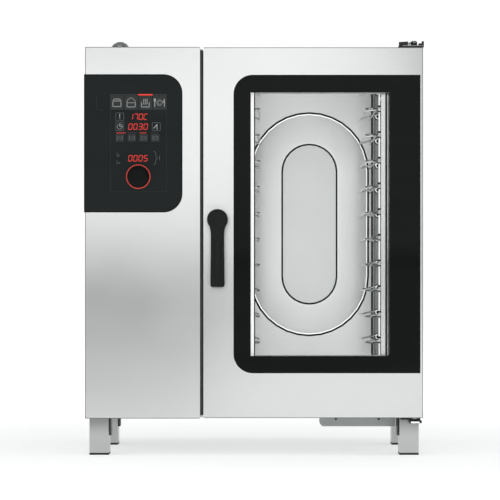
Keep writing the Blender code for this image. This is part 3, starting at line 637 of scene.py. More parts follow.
def value_keys():
    """Framed keys for temperature, time and core probe, and the small marks round the third display."""
    left = SMALL_COLUMNS[0]
    right = 0.0466
    keys = ((left, FIRST_ROW), (left, SECOND_ROW), (right, SECOND_ROW))
    printed("value_key_frames", [box_loop(x, z, SMALL_KEY, SMALL_KEY) for x, z in keys], MARK_DIM, 0.001)
    marks = [loop(arc((left, FIRST_ROW - 0.004), 0.002, 0, 330, 8))]
    marks.append(line((left, FIRST_ROW - 0.003), (left, FIRST_ROW + 0.007)))
    row = SECOND_ROW
    marks.append(loop(arc((left, row), 0.0066, 20, 340, 14)))
    marks.append(line((left, row + 0.0045), (left, row), (left + 0.0032, row)))
    probe = right + 0.002
    marks.append(line((probe, row - 0.007), (probe, row + 0.003)))
    marks.append(line((probe - 0.008, row - 0.004), (probe, row + 0.006)))
    printed("value_key_marks", marks, MARK, 0.0017, 1.2)
    row = THIRD_ROW
    small = [line((x, row + low), (x, row + high)) for x, low, high in DISPLAY_TICKS]
    small.append(box_loop(-0.049, row - 0.012, 0.003, 0.003))
    small.append(line(*[(x, row + up) for x, up in BRACE]))
    small.append(line((0.055, row + 0.006), (0.055, row - 0.004)))
    printed("display_marks", small, MARK_DIM, 0.0011)
    top = KEY_ROW + 0.019
    outline = line((-0.072, top), (-0.072, -0.039), (0.073, -0.039), (0.073, top))
    corner = line((-0.1078, KEY_ROW + 0.018), (-0.1078, KEY_ROW - 0.018), (-0.0955, KEY_ROW - 0.018))
    printed("panel_outline", [outline, corner], KEY_FIELD, 0.0007)


def dim_icons():
    lines = []
    z = DIM_ROW
    for index, x in enumerate(SMALL_COLUMNS):
        lines.append(line((x - 0.006, z - 0.005), (x - 0.006, z + 0.005)))
        lines.append(loop(arc((x + 0.001, z), 0.0035 + 0.0004 * index, 0, 330, 8)))
        lines.append(line((x + 0.007, z - 0.004), (x + 0.007, z + 0.004)))
    printed("program_icons", lines, MARK_DIM, 0.0012, 1.2)


def dashes(x, width, count):
    step = width / count
    gap = 0.0014
    starts = [x - width / 2 + i * step for i in range(count)]
    return [line((start + gap, LAMP_ROW), (start + step - gap, LAMP_ROW)) for start in starts]


def lamps():
    printed("lamps_red", dashes(-0.0447, 0.0246, 5) + dashes(0.0122, 0.0174, 4), RED_DIM, 0.0028)
    printed("lamps_grey", dashes(-0.015, 0.0233, 5) + dashes(0.042, 0.02, 4), KEY_FIELD, 0.0026)


DIGIT_LEAN = math.radians(8)
DIGIT_BAR = 0.0016
DIGIT_GAP = 0.62  # by which a bar stops short of the corner, in thicknesses
SEGMENTS = {"0": "abcdef", "1": "bc", "3": "abcdg", "5": "acdfg", "7": "abc", "C": "adef"}


def segment(shape, origin, name, width, height, thick):
    """One bar of a seven-segment digit, with pointed ends, leaning like the digit."""
    w = width / 2
    h = height / 2
    ends = {
        "a": ((-w, h), (w, h)),
        "g": ((-w, 0), (w, 0)),
        "d": ((-w, -h), (w, -h)),
        "b": ((w, 0), (w, h)),
        "c": ((w, -h), (w, 0)),
        "f": ((-w, 0), (-w, h)),
        "e": ((-w, -h), (-w, 0)),
    }[name]
    start = Vector(ends[0])
    end = Vector(ends[1])
    way = (end - start).normalized()
    start += way * thick * DIGIT_GAP
    end -= way * thick * DIGIT_GAP
    side = Vector((-way.y, way.x)) * thick / 2
    tip = way * thick / 2
    ring = [start - tip, start + side, end + side, end + tip, end - side, start - side]
    lean = math.tan(DIGIT_LEAN)
    faces = []
    for y in (GLASS_LOW.y - SKIN, GLASS_LOW.y - SKIN * 0.2):
        faces.append([shape.verts.new((origin[0] + p.x + p.y * lean, y, origin[1] + p.y)) for p in ring])
    shape.faces.new(faces[0])
    shape.faces.new(faces[1])
    for i in range(len(ring)):
        j = (i + 1) % len(ring)
        shape.faces.new((faces[0][i], faces[0][j], faces[1][j], faces[1][i]))


def display(name, digits, x, z, pitch=0.0132, width=0.0086, height=0.0145):
    shape = bmesh.new()
    start = DIAL.x + x - pitch * (len(digits) - 1) / 2
    for index, digit in enumerate(digits):
        for part in SEGMENTS[digit]:
            segment(shape, (start + index * pitch, DIAL.z + z), part, width, height, DIGIT_BAR)
    place(name, shape, RED_LIT, "red_ring")


def control_panel():
    x, y, z = zip(GLASS_LOW, GLASS_HIGH)
    outline = rounded(x, z, (0.002, 0.049, 0.049, 0.002), 16)
    hole = arc((DIAL.x, DIAL.z), 0.008, 0, 345, 23)
    finish = {"rounding": 0.0007, "stands_for": "control_glass"}
    sheet("control_pane", [outline, hole], y, CONTROL_BLACK, "black_glass", **finish)
    inner = rounded(inset(x, 0.0026), inset(z, 0.0026), (0.001, 0.0464, 0.0464, 0.001), 16)
    outer = rounded(inset(x, 0.0008), inset(z, 0.0008), (0.002, 0.0482, 0.0482, 0.002), 16)
    sheet("pane_rim", [outer, inner], (y[0] - SKIN, y[0]), SHADOW_GAP, "black_glass")
    key_fields()
    mode_icons()
    value_keys()
    dim_icons()
    lamps()
    display("display_heat", "170C", 0.0004, FIRST_ROW + 0.0005, pitch=0.0125)
    display("display_time", "0030", -0.0006, SECOND_ROW)
    display("display_probe", "0005", -0.0006, THIRD_ROW)
    dial()


def dial():
    """The domed dial, with a fine grip round its side."""
    low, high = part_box("dial_knob")
    radius = (high.x - low.x) / 2
    crown = 0.0052
    front = -low.y
    back = -high.y
    dome = []
    for angle in range(0, 91, 9):
        lean = math.radians(angle)
        dome.append((radius * math.sin(lean), front - crown + crown * math.cos(lean)))
    grip = radius - 0.0006
    side = [(radius, front - crown), (grip, front - crown - 0.002), (grip, back + 0.001)]
    rear = [(radius - 0.0012, back), (0.0075, back), (0.0075, back + 0.006), (0, back + 0.006)]
    profile = dome[:-1] + side + rear
    centre = (DIAL.x, 0, DIAL.z)
    finish = {"steps": 64, "stands_for": "dial_knob", "body": "dial"}
    turned("dial_cap", profile, centre, FRONT, PLASTIC_GLOSS, "black_plastic", **finish)
    low_ring, high_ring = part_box("dial_ring")
    outer = (high_ring.x - low_ring.x) / 2
    inner = outer - 0.0029
    depth = high_ring.y - low_ring.y
    profile = [(inner, 0), (outer, 0), (outer, depth - 0.0003), (outer - 0.0004, depth)]
    profile += [(outer - 0.0026, depth), (inner, depth - 0.0003), (inner, 0)]
    centre = (DIAL.x, high_ring.y, DIAL.z)
    turned("lit_ring", profile, centre, FRONT, RED_RING, "red_ring", steps=64, stands_for="dial_ring")
    shape = bmesh.new()
    ribs = 60
    rib = Matrix.Translation((radius - 0.0005, 0, 0)) @ Matrix.Diagonal((0.0009, 0.0085, 0.001, 1))
    centre = Matrix.Translation((DIAL.x, (low.y + high.y) / 2 + 0.0035, DIAL.z))
    for i in range(ribs):
        spin = Matrix.Rotation(2 * math.pi * i / ribs, 4, "Y")
        bmesh.ops.create_cube(shape, size=1, matrix=centre @ spin @ rib)
    place("dial_ribs", shape, PLASTIC_GLOSS, "black_plastic", body="dial")


# Door


def window():
    """The outer pane: clear in the middle, back-painted black round it."""
    x, y, z = zip(PANE_LOW, PANE_HIGH)
    clear_x = (x[0] + WINDOW_SIDES[0], x[1] - WINDOW_SIDES[1])
    clear_z = (z[0] + WINDOW_ENDS[0], z[1] - WINDOW_ENDS[1])
    outline = rounded(x, z, (PANE_CORNER, 0.001, 0.001, PANE_CORNER), 18)
    opening = rounded(clear_x, clear_z, (0.0012,) * 4, 3)
    sheet("pane_border", [outline, opening], y, GLASS_BLACK, "black_glass", 0.0006, body="door")
    gap = 0.0001
    low = (clear_x[0] + gap, y[0] + 0.0002, clear_z[0] + gap)
    high = (clear_x[1] - gap, y[1] - 0.0002, clear_z[1] - gap)
    slab("pane_window", low, high, CLEAR, "clear_glass", 0.0002, stands_for="door_glass_outer", body="door")
    return clear_x, clear_z


def window_frame(clear_x, clear_z):
    """The folded frame round the inner pane, seen through the outer one. Its left strip glows as a painted
    highlight, its right strip is the darker rack steel as painted shade, and two black strips are painted
    shadow.
    """
    inner_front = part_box("door_glass_inner")[0].y
    front = inner_front - 0.008
    back = inner_front - 0.0006
    low_z = clear_z[0] - 0.002
    high_z = clear_z[1] + 0.002
    # Painted light: frame_left glows, frame_right is a shaded copy in darker steel, and the black strips are
    # painted shadow.
    strips = {
        "frame_left": (clear_x[0] - 0.0035, clear_x[0] + 0.0083, TRIM_PAINTED_GLOW),
        "frame_left_painted_shadow": (clear_x[0] + 0.0084, clear_x[0] + 0.011, SHADOW_GAP),
        "frame_right": (clear_x[1] - 0.0045, clear_x[1] + 0.0035, RACK),
        "frame_right_painted_shadow": (clear_x[1] - 0.0085, clear_x[1] - 0.005, SHADOW_GAP),
        "frame_right_inner": (clear_x[1] - 0.0205, clear_x[1] - 0.009, STEEL),
    }
    for name, (left, right, look) in strips.items():
        slab(name, (left, front, low_z), (right, back, high_z), look, "brushed_steel", 0.0008, body="door")
    ends = (("frame_low", low_z, clear_z[0] + 0.0012), ("frame_high", clear_z[1] - 0.0012, high_z))
    for name, bottom, top in ends:
        low = (clear_x[0] + 0.01, front, bottom)
        high = (clear_x[1] - 0.0215, back, top)
        slab(name, low, high, STEEL, "brushed_steel", 0.0004, body="door")


def door_back():
    """Screws, glass clips and the drip channel on the inner side of the door."""
    low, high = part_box("door_inner_panel")
    back = high.y
    inset = 0.014
    middle_x = (low.x + high.x) / 2
    heights = [low.z + inset, high.z - inset]
    places = [(x, back, z) for x in (low.x + 0.022, middle_x, high.x - 0.022) for z in heights]
    screw_heads("inner_panel_screws", places, REARWARD, body="door")
    inner_low, inner_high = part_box("door_glass_inner")
    clips = []
    for z in (0.36, 0.6, 0.84):
        for x in (inner_low.x + 0.003, inner_high.x - 0.019):
            clips.append(((x, back + 0.0001, z - 0.012), (x + 0.016, back + 0.0022, z + 0.012)))
    boxes("glass_clips", clips, BAFFLE, "brushed_steel", rounding=0.0006, body="door")
    channel = []
    bottom = 0.112
    for start, end, tall in ((0.0003, 0.0013, 0.018), (0.0003, 0.006, 0.001), (0.005, 0.006, 0.006)):
        low = (SHELL_LOW.x + 0.012, back + start, bottom)
        channel.append((low, (HINGE.x - 0.016, back + end, bottom + tall)))
    boxes("drip_channel", channel, STEEL, "brushed_steel", body="door")


def lever_outline():
    """Round hub, short neck and a nearly straight grip with a square end."""
    x = LATCH.x
    z = LATCH.z
    hub = (LEVER_HIGH.x - LEVER_LOW.x) / 2
    bottom = LEVER_LOW.z
    right = [(x + px, z + pz) for px, pz in arc((0, 0), hub, 90, -38, 20)]
    neck_end = (x + 0.017, z - 0.038)
    start = right[-1]
    for i in range(1, 8):
        t = i / 8
        across = neck_end[0] + (start[0] - neck_end[0]) * (1 - t) ** 2
        right.append((across, start[1] + (neck_end[1] - start[1]) * t))
    right.append(neck_end)
    right.append((x + 0.0173, z - 0.09))
    right.append((x + 0.018, bottom + 0.03))
    corner = 0.006
    right += arc((x + 0.0183 - corner, bottom + corner), corner, 0, -90, 6)
    left = [(2 * x - px, pz) for px, pz in reversed(right)]
    return right + left[:-1]


def lever():
    """The hanging lever: a shell with a soft edge over a hub, and a shallow thumb groove in its grip."""
    y = (LEVER_LOW.y + 0.0004, LEVER_LOW.y + 0.0235)
    finish = {"rounding": 0.0042, "segments": 4, "stands_for": "handle_lever"}
    sheet("lever_grip", [lever_outline()], y, PLASTIC, "black_plastic", **finish, body="handle")
    hub_back = -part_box("handle_rosette")[0].y + 0.0003
    hub_front = -y[1] - 0.0002
    waist = (0.0205, (hub_front + hub_back) / 2)
    profile = [(0, hub_front), (0.0215, hub_front), waist, (0.0222, hub_back + 0.003)]
    profile += [(0.0225, hub_back), (0, hub_back)]
    centre = (LATCH.x, 0, LATCH.z)
    turned("lever_hub", profile, centre, FRONT, PLASTIC, "black_plastic", steps=48, body="handle")
    groove = []
    for half, corner, end in ((0.0085, 0.008, 0.0), (0.0075, 0.007, 0.001)):
        z = (LEVER_LOW.z + 0.022 + end, LATCH.z - 0.052 - end)
        groove.append(rounded((LATCH.x - half, LATCH.x + half), z, (corner,) * 4, 6))
    y = (y[0] - 0.00025, y[0] + 0.0004)
    sheet("grip_outline", groove, y, PLASTIC_GLOSS, "black_plastic", 0.0001, body="handle")
    start = (LATCH.x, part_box("handle_rosette")[0].y, LATCH.z)
    turned("lever_spindle", disc(0.0058, 0.062), start, REARWARD, PIN, "pin_steel", steps=20, body="handle")


# Racks


# Painted light: the posts are lit and shaded copies of the rack steel, clips are drawn in the painted-shadow
# black, and shade_marks are painted shadow behind the collars and along the rear post.
RACK_GROUPS = (
    ("front_post", RACK_PAINTED_LIGHT, 0.0003),
    ("rear_post", RACK_PAINTED_SHADE, 0.0003),
    ("posts", RACK, 0.0003),
    ("rails", RACK, 0),
    ("collars", RACK, 0),
    ("clips", SHADOW_GAP, 0),
    ("shade_marks", SHADOW_GAP, 0),
)
ROD = 0.0024  # radii
STAY = 0.0026
COLLAR = [(0.0034, 0.0), (0.0082, 0.0), (0.0084, 0.0008), (0.0074, 0.0024), (0.0042, 0.0028), (0.0034, 0.0)]


def rack(side, name):
    """Bent rails on a narrow front post and a wide rear one, with a collar where each passes the latter. The
    front post is a lit copy and the rear post a shaded copy of the rack steel, and near-black marks are
    painted shadow.
    """
    low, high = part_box(name)
    openings = frame["record"]["physics"]["openings"]
    slots = [item["box_m"] for item in openings if item["name"].startswith("pan_slot")]
    centre = sum(corner[0] for corner in slots[0]) / 2
    pitch = slots[1][0][2] - slots[0][0][2]
    tall = (low.z, high.z)
    reach = 0.14
    collar = 0.189
    front_y = low.y + 0.085
    rear_y = 0.15
    bend = 0.0145
    shapes = {suffix: bmesh.new() for suffix, _, _ in RACK_GROUPS}

    def out(distance):
        """An X, from its distance out from the middle of the pans."""
        return centre + side * distance

    def block(suffix, near, far, y, z):
        left, right = sorted((out(near), out(far)))
        add_box(shapes[suffix], (left, y[0], z[0]), (right, y[1], z[1]))

    block("front_post", 0.1762, 0.1796, (front_y, front_y + 0.012), tall)
    block("rear_post", 0.1715, 0.198, (rear_y, rear_y + 0.002), tall)
    for y in (front_y, rear_y):
        for z in (0.3, 0.93):
            block("posts", 0.179, 0.2135, (y + 0.003, y + 0.01), (z, z + 0.008))
    inner = out(reach)
    for i in range(len(slots) + 1):
        z = slots[0][0][2] - 0.004 + i * pitch
        route = [(inner, high.y, z), (inner, low.y + bend, z)]
        route += [(out(px), py, z) for px, py in arc((reach + bend, low.y + bend), bend, 180, 360, 8)]
        route.append((out(0.169), high.y, z))
        add_tube(shapes["rails"], route, ROD, 8)
        stay = [(inner, front_y, z - 0.001), (out(0.1785), front_y, z + 0.004)]
        add_tube(shapes["rails"], stay, STAY, 6)
        stay = [(inner, rear_y, z - 0.001), (out(collar), rear_y - 0.0012, z + 0.012)]
        add_tube(shapes["rails"], stay, STAY, 6)
        add_turned(shapes["collars"], COLLAR, (out(collar), rear_y - 0.0014, z + 0.006), FRONT, 16)
        # The clip is drawn in the painted-shadow black for its dark outline; the lighter plate sits in
        # front.
        block("clips", 0.1735, 0.183, (front_y - 0.0014, front_y + 0.0002), (z - 0.004, z + 0.014))
        block("posts", 0.1752, 0.1813, (front_y - 0.0022, front_y - 0.0012), (z - 0.001, z + 0.009))
        # Painted shadow: a dark disc behind each collar.
        shade_spot = (out(collar), rear_y - 0.0002, z + 0.006)
        add_turned(shapes["shade_marks"], disc(0.0102, 0.001), shade_spot, FRONT, 16)
    # Painted shadow: dark lines down the rear post.
    for near, far in ((0.1702, 0.1752), (0.18, 0.1815)):
        block("shade_marks", near, far, (rear_y - 0.0012, rear_y - 0.0002), tall)
    for suffix, look, rounding in RACK_GROUPS:
        node = name if suffix == "rails" else None
        place(f"{name}_{suffix}", shapes[suffix], look, "rack_steel", rounding=rounding, stands_for=node)


# Cabinet details


def front_details():
    """The lip of the seal beside the control front, and dark strips along the panels' edges as painted
    shadow.
    """
    seal_low, seal_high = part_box("edge_seal")
    middle = (seal_low.x + seal_high.x) / 2
    low = (middle - 0.0007, seal_low.y - 0.0004, seal_low.z + 0.002)
    high = (middle + 0.0007, seal_low.y + 0.0006, seal_high.z - 0.002)
    slab("seal_lip", low, high, RUBBER_GREY, "seal_rubber", 0.0002)
    # Painted shadow lines along the top, foot and outer side of each front panel.
    width = 0.0017
    edge_shades = (("front_edge_shade", FRONT_LOW, FRONT_HIGH, "oven"), ("door_edge_shade", SHELL_LOW, SHELL_HIGH, "door"))
    for name, low, high, body in edge_shades:
        y = (low.y - 0.0001, low.y + 0.0004)
        outer_x = low.x if body == "oven" else high.x - width
        top = ((low.x + 0.001, y[0], high.z - width), (high.x - 0.001, y[1], high.z))
        foot = ((low.x + 0.001, y[0], low.z), (high.x - 0.001, y[1], low.z + width))
        side = ((outer_x, y[0], low.z + 0.001), (outer_x + width, y[1], high.z - 0.001))
        boxes(name, [top, foot, side], EDGE_SHADE, "brushed_steel", body=body)


def top_hinge():
    """Bolts, plate edge and pin head on the top bracket."""
    low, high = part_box("hinge_bracket_top")
    deck = low.z + 0.0043
    shape = bmesh.new()
    for y in (-0.335, -0.3, -0.275):
        centre = (0.413, y, deck)
        add_turned(shape, disc(0.0065, 0.0008), centre, UP, 20)
        add_turned(shape, disc(0.0048, 0.0046, 0.0008, (0.0008, 0.0008)), centre, UP, 6)
    place("bracket_bolts", shape, PIN, "pin_steel")
    front = (0.3856, low.y - 0.0004, 1.0606)
    slab("bracket_edge", front, (0.437, low.y + 0.0006, deck), TRIM_GREY, "pin_steel")
    front = (0.4123, low.y + 0.0085, 1.0692)
    slab("bracket_boss_face", front, (0.4193, low.y + 0.01, 1.0726), TRIM_GREY, "pin_steel")
    profile = disc(0.0062, 0.0012, bevel=(0.0012, 0.0006))
    turned("pin_washer", profile, (HINGE.x, HINGE.y, high.z + 0.0011), UP, TRIM_GREY, "pin_steel", 28)
    bolt = bmesh.new()
    add_turned(bolt, disc(0.0039, 0.0034, -0.001, (0.0007, 0.0008)), (0.4027, low.y, 1.0668), FRONT, 6)
    place("bracket_front_bolt", bolt, TRIM_GREY, "pin_steel")


def low_hinge():
    """The front edge of the lower bracket, glowing as a painted highlight, the spacer under the door and two
    screws from below.
    """
    low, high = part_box("hinge_bracket_bottom")
    # Painted highlight: the edge strip glows so it reads bright.
    front = (0.4064, low.y - 0.0005, low.z + 0.0004)
    slab("low_bracket_edge", front, (0.4284, low.y + 0.0005, 0.0878), TRIM_PAINTED_GLOW, "brushed_steel")
    front = (0.38, -0.373, 0.0925)
    slab("low_bracket_plate", front, (0.404, -0.35, 0.0954), BLACK_STEEL, "black_steel", 0.0003)
    profile = [(0.0088, 0.0), (0.0148, 0.0), (0.0152, 0.0008), (0.0148, 0.0044), (0.0088, 0.0044)]
    profile.append(profile[0])
    turned("low_spacer", profile, (HINGE.x, HINGE.y, 0.0903), UP, RUBBER, "seal_rubber", 32)
    shape = bmesh.new()
    head = disc(0.003, 0.0028, bevel=(0.0006, 0.0006))
    for y in (-0.315, -0.301):
        add_turned(shape, head, (high.x - 0.003, y, low.z), DOWN, 6)
    place("low_hinge_screws", shape, PIN, "pin_steel")


def roof_details():
    """Edge screws, the exhaust's flange with its own screws, and the lip inside its mouth."""
    top = ROOF_HIGH.z
    xs = [-0.4 + 0.16 * i for i in range(6)]
    ys = [ROOF_LOW.y + 0.02, ROOF_HIGH.y - 0.02]
    places = [(x, y, top) for x in xs for y in ys if not (x > 0.35 and y < 0)]
    places += [(x, y, top) for x in (ROOF_LOW.x + 0.016, ROOF_HIGH.x - 0.016) for y in (-0.12, 0.06, 0.24)]
    screw_heads("roof_screws", places, UP)
    tube_low, tube_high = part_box("exhaust_elbow")
    radius = (tube_high.x - tube_low.x) / 2
    centre = ((tube_low.x + tube_high.x) / 2, tube_low.y + radius, top)
    bore = radius + 0.0004
    flange = [(bore, 0.0003), (bore + 0.014, 0.0003), (bore + 0.015, 0.0012), (bore + 0.014, 0.002)]
    flange += [(bore + 0.003, 0.0024), (bore + 0.0022, 0.0095), (bore, 0.01), (bore, 0.0003)]
    turned("exhaust_flange", flange, centre, UP, STEEL, "brushed_steel", 48)
    inside = radius - 0.0016
    lip = [(inside, 0.0), (inside, 0.0034), (inside - 0.001, 0.003), (inside - 0.001, 0.0004), (inside, 0.0)]
    mouth = (centre[0], tube_high.y - 0.0034, tube_high.z - radius)
    turned("exhaust_lip", lip, mouth, REARWARD, EXHAUST, "brushed_steel", 48)
    around = radius + 0.0092
    places = []
    for angle in (0.6, 2.2, 3.8, 5.4):
        x = centre[0] + around * math.cos(angle)
        places.append((x, centre[1] + around * math.sin(angle), top + 0.0019))
    screw_heads("flange_screws", places, UP, 0.0026)


LOUVRE = (0.074, 0.0085, 0.005)  # width, height and depth
LOUVRE_PITCH = (0.092, 0.021)
INLET = (-0.25, 0.165)  # X and Z of the water inlet


def louvre(shape, x, z):
    """One pressed louvre: a hood that stands off the sheet and opens downwards."""
    width, height, depth = LOUVRE
    sections = 10
    rows = []
    for i in range(sections + 1):
        t = i / sections
        bulge = math.sin(math.pi * t) ** 0.5 if 0 < t < 1 else 0.0
        across = x - width / 2 + width * t
        outer = [(0.0, height), (0.55, height * 0.75), (0.95, height * 0.25), (1.0, 0.0)]
        ring = [Vector((across, depth * bulge * out + 0.0001, z + up)) for out, up in outer]
        rows.append([shape.verts.new(point) for point in ring])
    for first, second in zip(rows, rows[1:]):
        for k in range(len(first) - 1):
            shape.faces.new((first[k], first[k + 1], second[k + 1], second[k]))


def louvre_field(name, centre, columns, rows):
    """A field of louvres on the rear, which faces +Y, with a dark box under each hood as painted shadow in
    its slot.
    """
    hoods = bmesh.new()
    slots = bmesh.new()
    half = LOUVRE[0] * 0.44
    for x in spaced(columns, LOUVRE_PITCH[0]):
        for z in spaced(rows, LOUVRE_PITCH[1]):
            louvre(hoods, x, z)
            # Painted shadow: a dark box where the slot under the hood opens.
            add_box(slots, (x - half, 0.00005, z - 0.0012), (x + half, 0.00035, z + LOUVRE[1] * 0.45))
    hoods.transform(Matrix.Translation(centre))
    slots.transform(Matrix.Translation(centre))
    mesh = bpy.data.meshes.new(name)
    hoods.to_mesh(mesh)
    hoods.free()
    made = place_mesh(name, mesh, STEEL, "brushed_steel", smooth=50)
    skin = made.modifiers.new("skin", "SOLIDIFY")
    skin.thickness = 0.001
    skin.offset = 1
    place(name + "_slots", slots, SHADOW_GAP, "black_steel")


def rear_details():
    """Cooling louvres, screws, the cover of the electrical entry, a blank plate and the pipes' collars."""
    face = REAR_HIGH.y
    louvre_field("rear_louvres", (-0.262, face, 0.78), 3, 12)
    louvre_field("rear_louvres_low", (0.27, face, 0.33), 2, 6)
    zs = [REAR_LOW.z + 0.018 + i * (REAR_HIGH.z - REAR_LOW.z - 0.036) / 5 for i in range(6)]
    places = [(x, face, z) for x in (REAR_LOW.x + 0.014, REAR_HIGH.x - 0.014) for z in zs]
    places += [(x, face, z) for x in (-0.21, 0.0, 0.21) for z in (zs[0], zs[-1])]
    screw_heads("rear_screws", places, REARWARD)
    low = (-0.395, face + 0.0003, 0.25)
    high = (-0.275, face + 0.0016, 0.39)
    slab("electrical_cover", low, high, STEEL_UPRIGHT, "brushed_steel", 0.0006)
    corners = [(x, face + 0.0016, z) for x in (-0.385, -0.285) for z in (0.26, 0.38)]
    screw_heads("cover_screws", corners, REARWARD, 0.003)
    low = (-0.11, face + 0.0002, 0.26)
    high = (-0.03, face + 0.0008, 0.31)
    slab("rating_plate", low, high, LABEL, "brushed_steel", 0.0003)
    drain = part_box("drain_pipe")[0]
    pipe = 0.025
    pipes = (("drain_collar", drain.x + pipe, drain.z + pipe, pipe), ("inlet_collar", *INLET, 0.0132))
    for name, x, z, radius in pipes:
        bore = radius + 0.0006
        collar = [(bore, 0.0003), (radius + 0.008, 0.0003), (radius + 0.008, 0.0014)]
        collar += [(radius + 0.003, 0.0024), (bore, 0.0024), (bore, 0.0003)]
        turned(name, collar, (x, face, z), REARWARD, RUBBER, "seal_rubber", 40)
    thread_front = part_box("solenoid_valve")[1].y - 0.0165
    shape = bmesh.new()
    ridge = [(0.0128, 0.0), (0.0138, 0.0007), (0.0138, 0.001), (0.0128, 0.0017), (0.0128, 0.0)]
    for i in range(8):
        add_turned(shape, ridge, (INLET[0], thread_front + 0.0018 * i, INLET[1]), REARWARD, 28)
    place("inlet_thread", shape, BRASS, "pin_steel")


def side_details():
    """Screws down the back and front edges of each side panel."""
    zs = [REAR_LOW.z + 0.03 + 0.18 * i for i in range(6)]
    for name, x, way in (("left", FRONT_LOW.x, -1), ("right", ROOF_HIGH.x, 1)):
        places = [(x, y, z) for y in (REAR_LOW.y - 0.014, -0.296) for z in zs]
        screw_heads(f"{name}_side_screws", places, (way, 0, 0))


def floor_of_body():
    """Screws of the tray and the base plate, and the vents in the base plate."""
    tray_low, tray_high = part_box("condensate_tray")
    places = [(x, tray_low.y, tray_high.z - 0.005) for x in (tray_low.x + 0.042, tray_high.x - 0.042)]
    screw_heads("tray_screws", places, FRONT, 0.003, BLACK_STEEL, "black_steel")
    base_low, base_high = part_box("base_plate")
    ys = (base_low.y + 0.03, base_high.y - 0.03)
    places = [(x, y, base_low.z) for x in (-0.35, -0.12, 0.12) for y in ys]
    screw_heads("base_screws", places, DOWN)
    vents = []
    for i in range(9):
        y = -0.1 + 0.022 * i
        vents.append(((-0.34, y, base_low.z - 0.0022), (-0.2, y + 0.01, base_low.z - 0.0002)))
    boxes("base_vents", vents, GALVANISED, "galvanised", rounding=0.0008)


def cavity_details():
    """The drain's strainer in the cavity floor."""
    floor = CAVITY_LOW.z + 0.0016
    tank_low, tank_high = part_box("drain_box")
    centre = ((tank_low.x + tank_high.x) / 2, 0.12, floor)
    rim = [(0, 0.0002), (0.036, 0.0002), (0.036, 0.0012), (0.031, 0.0026), (0.012, 0.0016), (0, 0.0016)]
    turned("floor_strainer", rim, centre, UP, BAFFLE, "cavity_steel", 40)
    # The holes are dark discs on the strainer's face: painted shadow, not openings.
    shape = bmesh.new()
    for ring, count in ((0.009, 6), (0.018, 12), (0.026, 18)):
        for i in range(count):
            a = 2 * math.pi * i / count
            hole = (centre[0] + ring * math.cos(a), centre[1] + ring * math.sin(a), floor + 0.0019)
            add_turned(shape, disc(0.0021, 0.0006), hole, UP, 10)
    place("strainer_hole_shadows", shape, SHADOW_GAP, "black_steel")


def oval(radius, steps=16):
    """The upright oval about the two fan centres, as X-Z points."""
    x, _, low_z = JOINTS["fan_lower_spin"]["pos_m"]
    high_z = JOINTS["fan_upper_spin"]["pos_m"][2]
    return arc((x, high_z), radius, 0, 180, steps) + arc((x, low_z), radius, 180, 360, steps)


def intake_dish():
    """The domed oval ring between the baffle and the suction plate. A near-black ring round each edge is
    painted shadow in the gap, and a glowing lip inside the outer one is a painted highlight.
    """
    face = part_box("baffle_panel")[0].y
    front = [(0.163, 0.001), (0.163, 0.0002), (0.1616, -0.0005), (0.156, -0.0013), (0.144, -0.0029)]
    front += [(0.124, -0.0049), (0.102, -0.0065), (0.086, -0.0073), (0.0796, -0.0076), (0.0786, -0.0073)]
    back = [(0.0786, -0.0065), (0.086, -0.0062), (0.124, -0.0037), (0.156, -0.0002), (0.16, 0.001)]
    shape = bmesh.new()
    rows = [[shape.verts.new((x, face + y, z)) for x, z in oval(radius)] for radius, y in front + back]
    for outer, inner in zip(rows, rows[1:] + rows[:1]):
        for i in range(len(outer)):
            j = (i + 1) % len(outer)
            shape.faces.new((outer[i], outer[j], inner[j], inner[i]))
    place("intake_dish", shape, BAFFLE, "cavity_steel", smooth=50, stands_for="air_guide")
    # Painted light: black rings as shadow in the gaps, a glowing ring as the lip's highlight.
    rings = (
        ("dish_gap_painted_shadow", 0.1684, 0.1632, face - 0.0006, SHADOW_GAP, "black_steel"),
        ("dish_lip_painted_highlight", 0.163, 0.1606, face - 0.0008, TRIM_PAINTED_GLOW, "cavity_steel"),
        ("suction_gap_painted_shadow", 0.079, 0.0734, face - 0.0079, SHADOW_GAP, "black_steel"),
    )
    for name, outer, inner, y, look, slot in rings:
        sheet(name, [oval(outer), oval(inner)], (y, y + 0.0004), look, slot)


def tray():
    """The condensate tray, with the small bevel that its left end shows in front view."""
    low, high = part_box("condensate_tray")
    outline = [(low.x, high.z), (low.x, high.z - 0.0172), (low.x + 0.0064, low.z)]
    outline += [(high.x, low.z), (high.x, high.z)]
    sheet("tray_body", [outline], (low.y, high.y), TRAY, "galvanised", 0.0008, stands_for="condensate_tray")


# Stage


def stage():
    floor_mesh = bmesh.new()
    middle = Matrix.Translation((0, 5.5, 0))
    bmesh.ops.create_grid(floor_mesh, x_segments=2, y_segments=2, size=10.5, matrix=middle)
    look = Look("floor_white", (0.86, 0.86, 0.86), 0.9, 0.0, 0.1)
    fill(look.shader, {"Emission Color": (1, 1, 1, 1)})
    reach = look.nodes.new("ShaderNodeVectorMath")
    reach.operation = "LENGTH"
    look.links.new(look.place, reach.inputs[0])
    glow = look.spread(reach.outputs["Value"], FLOOR_GLOW, FLOOR_FAR, *FLOOR_REACH)
    look.drive("Emission Strength", glow)
    floor = place("floor", floor_mesh, look.material, None, body=None)


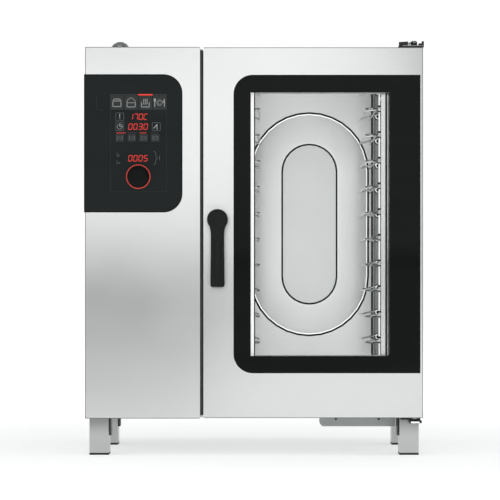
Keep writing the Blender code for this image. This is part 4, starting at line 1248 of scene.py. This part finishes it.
def world():
    """A grey studio that darkens towards the horizon, and white behind the object."""
    made = bpy.data.worlds.new("studio")
    bpy.context.scene.world = made
    made.use_nodes = True
    nodes = made.node_tree.nodes
    links = made.node_tree.links
    soft = nodes["Background"]
    fill(soft, {"Color": (0.97, 1.0, 0.99, 1)})
    split = nodes.new("ShaderNodeSeparateXYZ")
    links.new(nodes.new("ShaderNodeTexCoord").outputs["Generated"], split.inputs["Vector"])
    rise = map_range(made.node_tree, split.outputs["Z"], WORLD_LOW, WORLD_HIGH, *WORLD_RISE)
    links.new(rise, soft.inputs["Strength"])
    paper = nodes.new("ShaderNodeBackground")
    fill(paper, {"Color": (1, 1, 1, 1), "Strength": 1.05})
    path = nodes.new("ShaderNodeLightPath")
    mix = nodes.new("ShaderNodeMixShader")
    links.new(path.outputs["Is Camera Ray"], mix.inputs["Fac"])
    links.new(soft.outputs["Background"], mix.inputs[1])
    links.new(paper.outputs["Background"], mix.inputs[2])
    links.new(mix.outputs["Shader"], nodes["World Output"].inputs["Surface"])


def softbox(name, place_at, aim, width, height, power):
    light = bpy.data.lights.new(name, "AREA")
    light.shape = "RECTANGLE"
    light.size = width
    light.size_y = height
    light.energy = power
    holder = add_object(name, light)
    holder.location = place_at
    holder.rotation_euler = (Vector(aim) - Vector(place_at)).to_track_quat("-Z", "Y").to_euler()
    holder.visible_camera = False


def lights():
    front = (
        ("upper_front", -0.42, 0.97, 2.0, 0.85, 5.3),
        ("top_front", 0.14, 1.46, 0.6, 0.3, 0.95),
        ("lower_front", 0.46, 0.26, 1.2, 0.46, 0.85),
    )
    for name, x, z, width, height, power in front:
        softbox(name, (x, LIGHT_Y, z), (x, 0.0, z), width, height, power)
    softbox("overhead", (0.0, -0.2, 3.2), (0.0, 0.0, 0.5), 2.6, 2.6, 12)
    softbox("left_side", (-2.8, -1.2, 1.1), (0.0, 0.0, 0.7), 1.8, 1.8, 3.2)
    softbox("right_side", (3.0, 0.4, 1.4), (0.0, 0.0, 0.6), 2.0, 2.0, 5)
    softbox("back", (0.2, 3.2, 1.6), (0.0, 0.0, 0.6), 2.4, 1.8, 2.4)
    middle = (CAVITY_LOW.x + CAVITY_HIGH.x) / 2
    softbox("cavity", (middle, CAVITY_LOW.y + 0.02, 0.61), (middle, 0.3, 0.61), 0.42, 0.77, 1.0)


def camera():
    made = bpy.data.cameras.new("camera")
    holder = add_object("camera", made)
    holder.location = (0.031, -7.3785, 0.4546)
    holder.rotation_euler = (math.pi / 2, 0, 0)
    made.lens = 194.7
    made.sensor_width = 36
    made.shift_x = -0.032
    made.shift_y = 0.06
    bpy.context.scene.camera = holder


finish_nodes()
control_panel()
window_frame(*window())
door_back()
lever()
rack(-1, "rack_left")
rack(1, "rack_right")
front_details()
top_hinge()
low_hinge()
roof_details()
rear_details()
side_details()
floor_of_body()
cavity_details()
intake_dish()
tray()
stage()
world()
lights()
camera()
bpy.context.scene.view_settings.view_transform = "Standard"
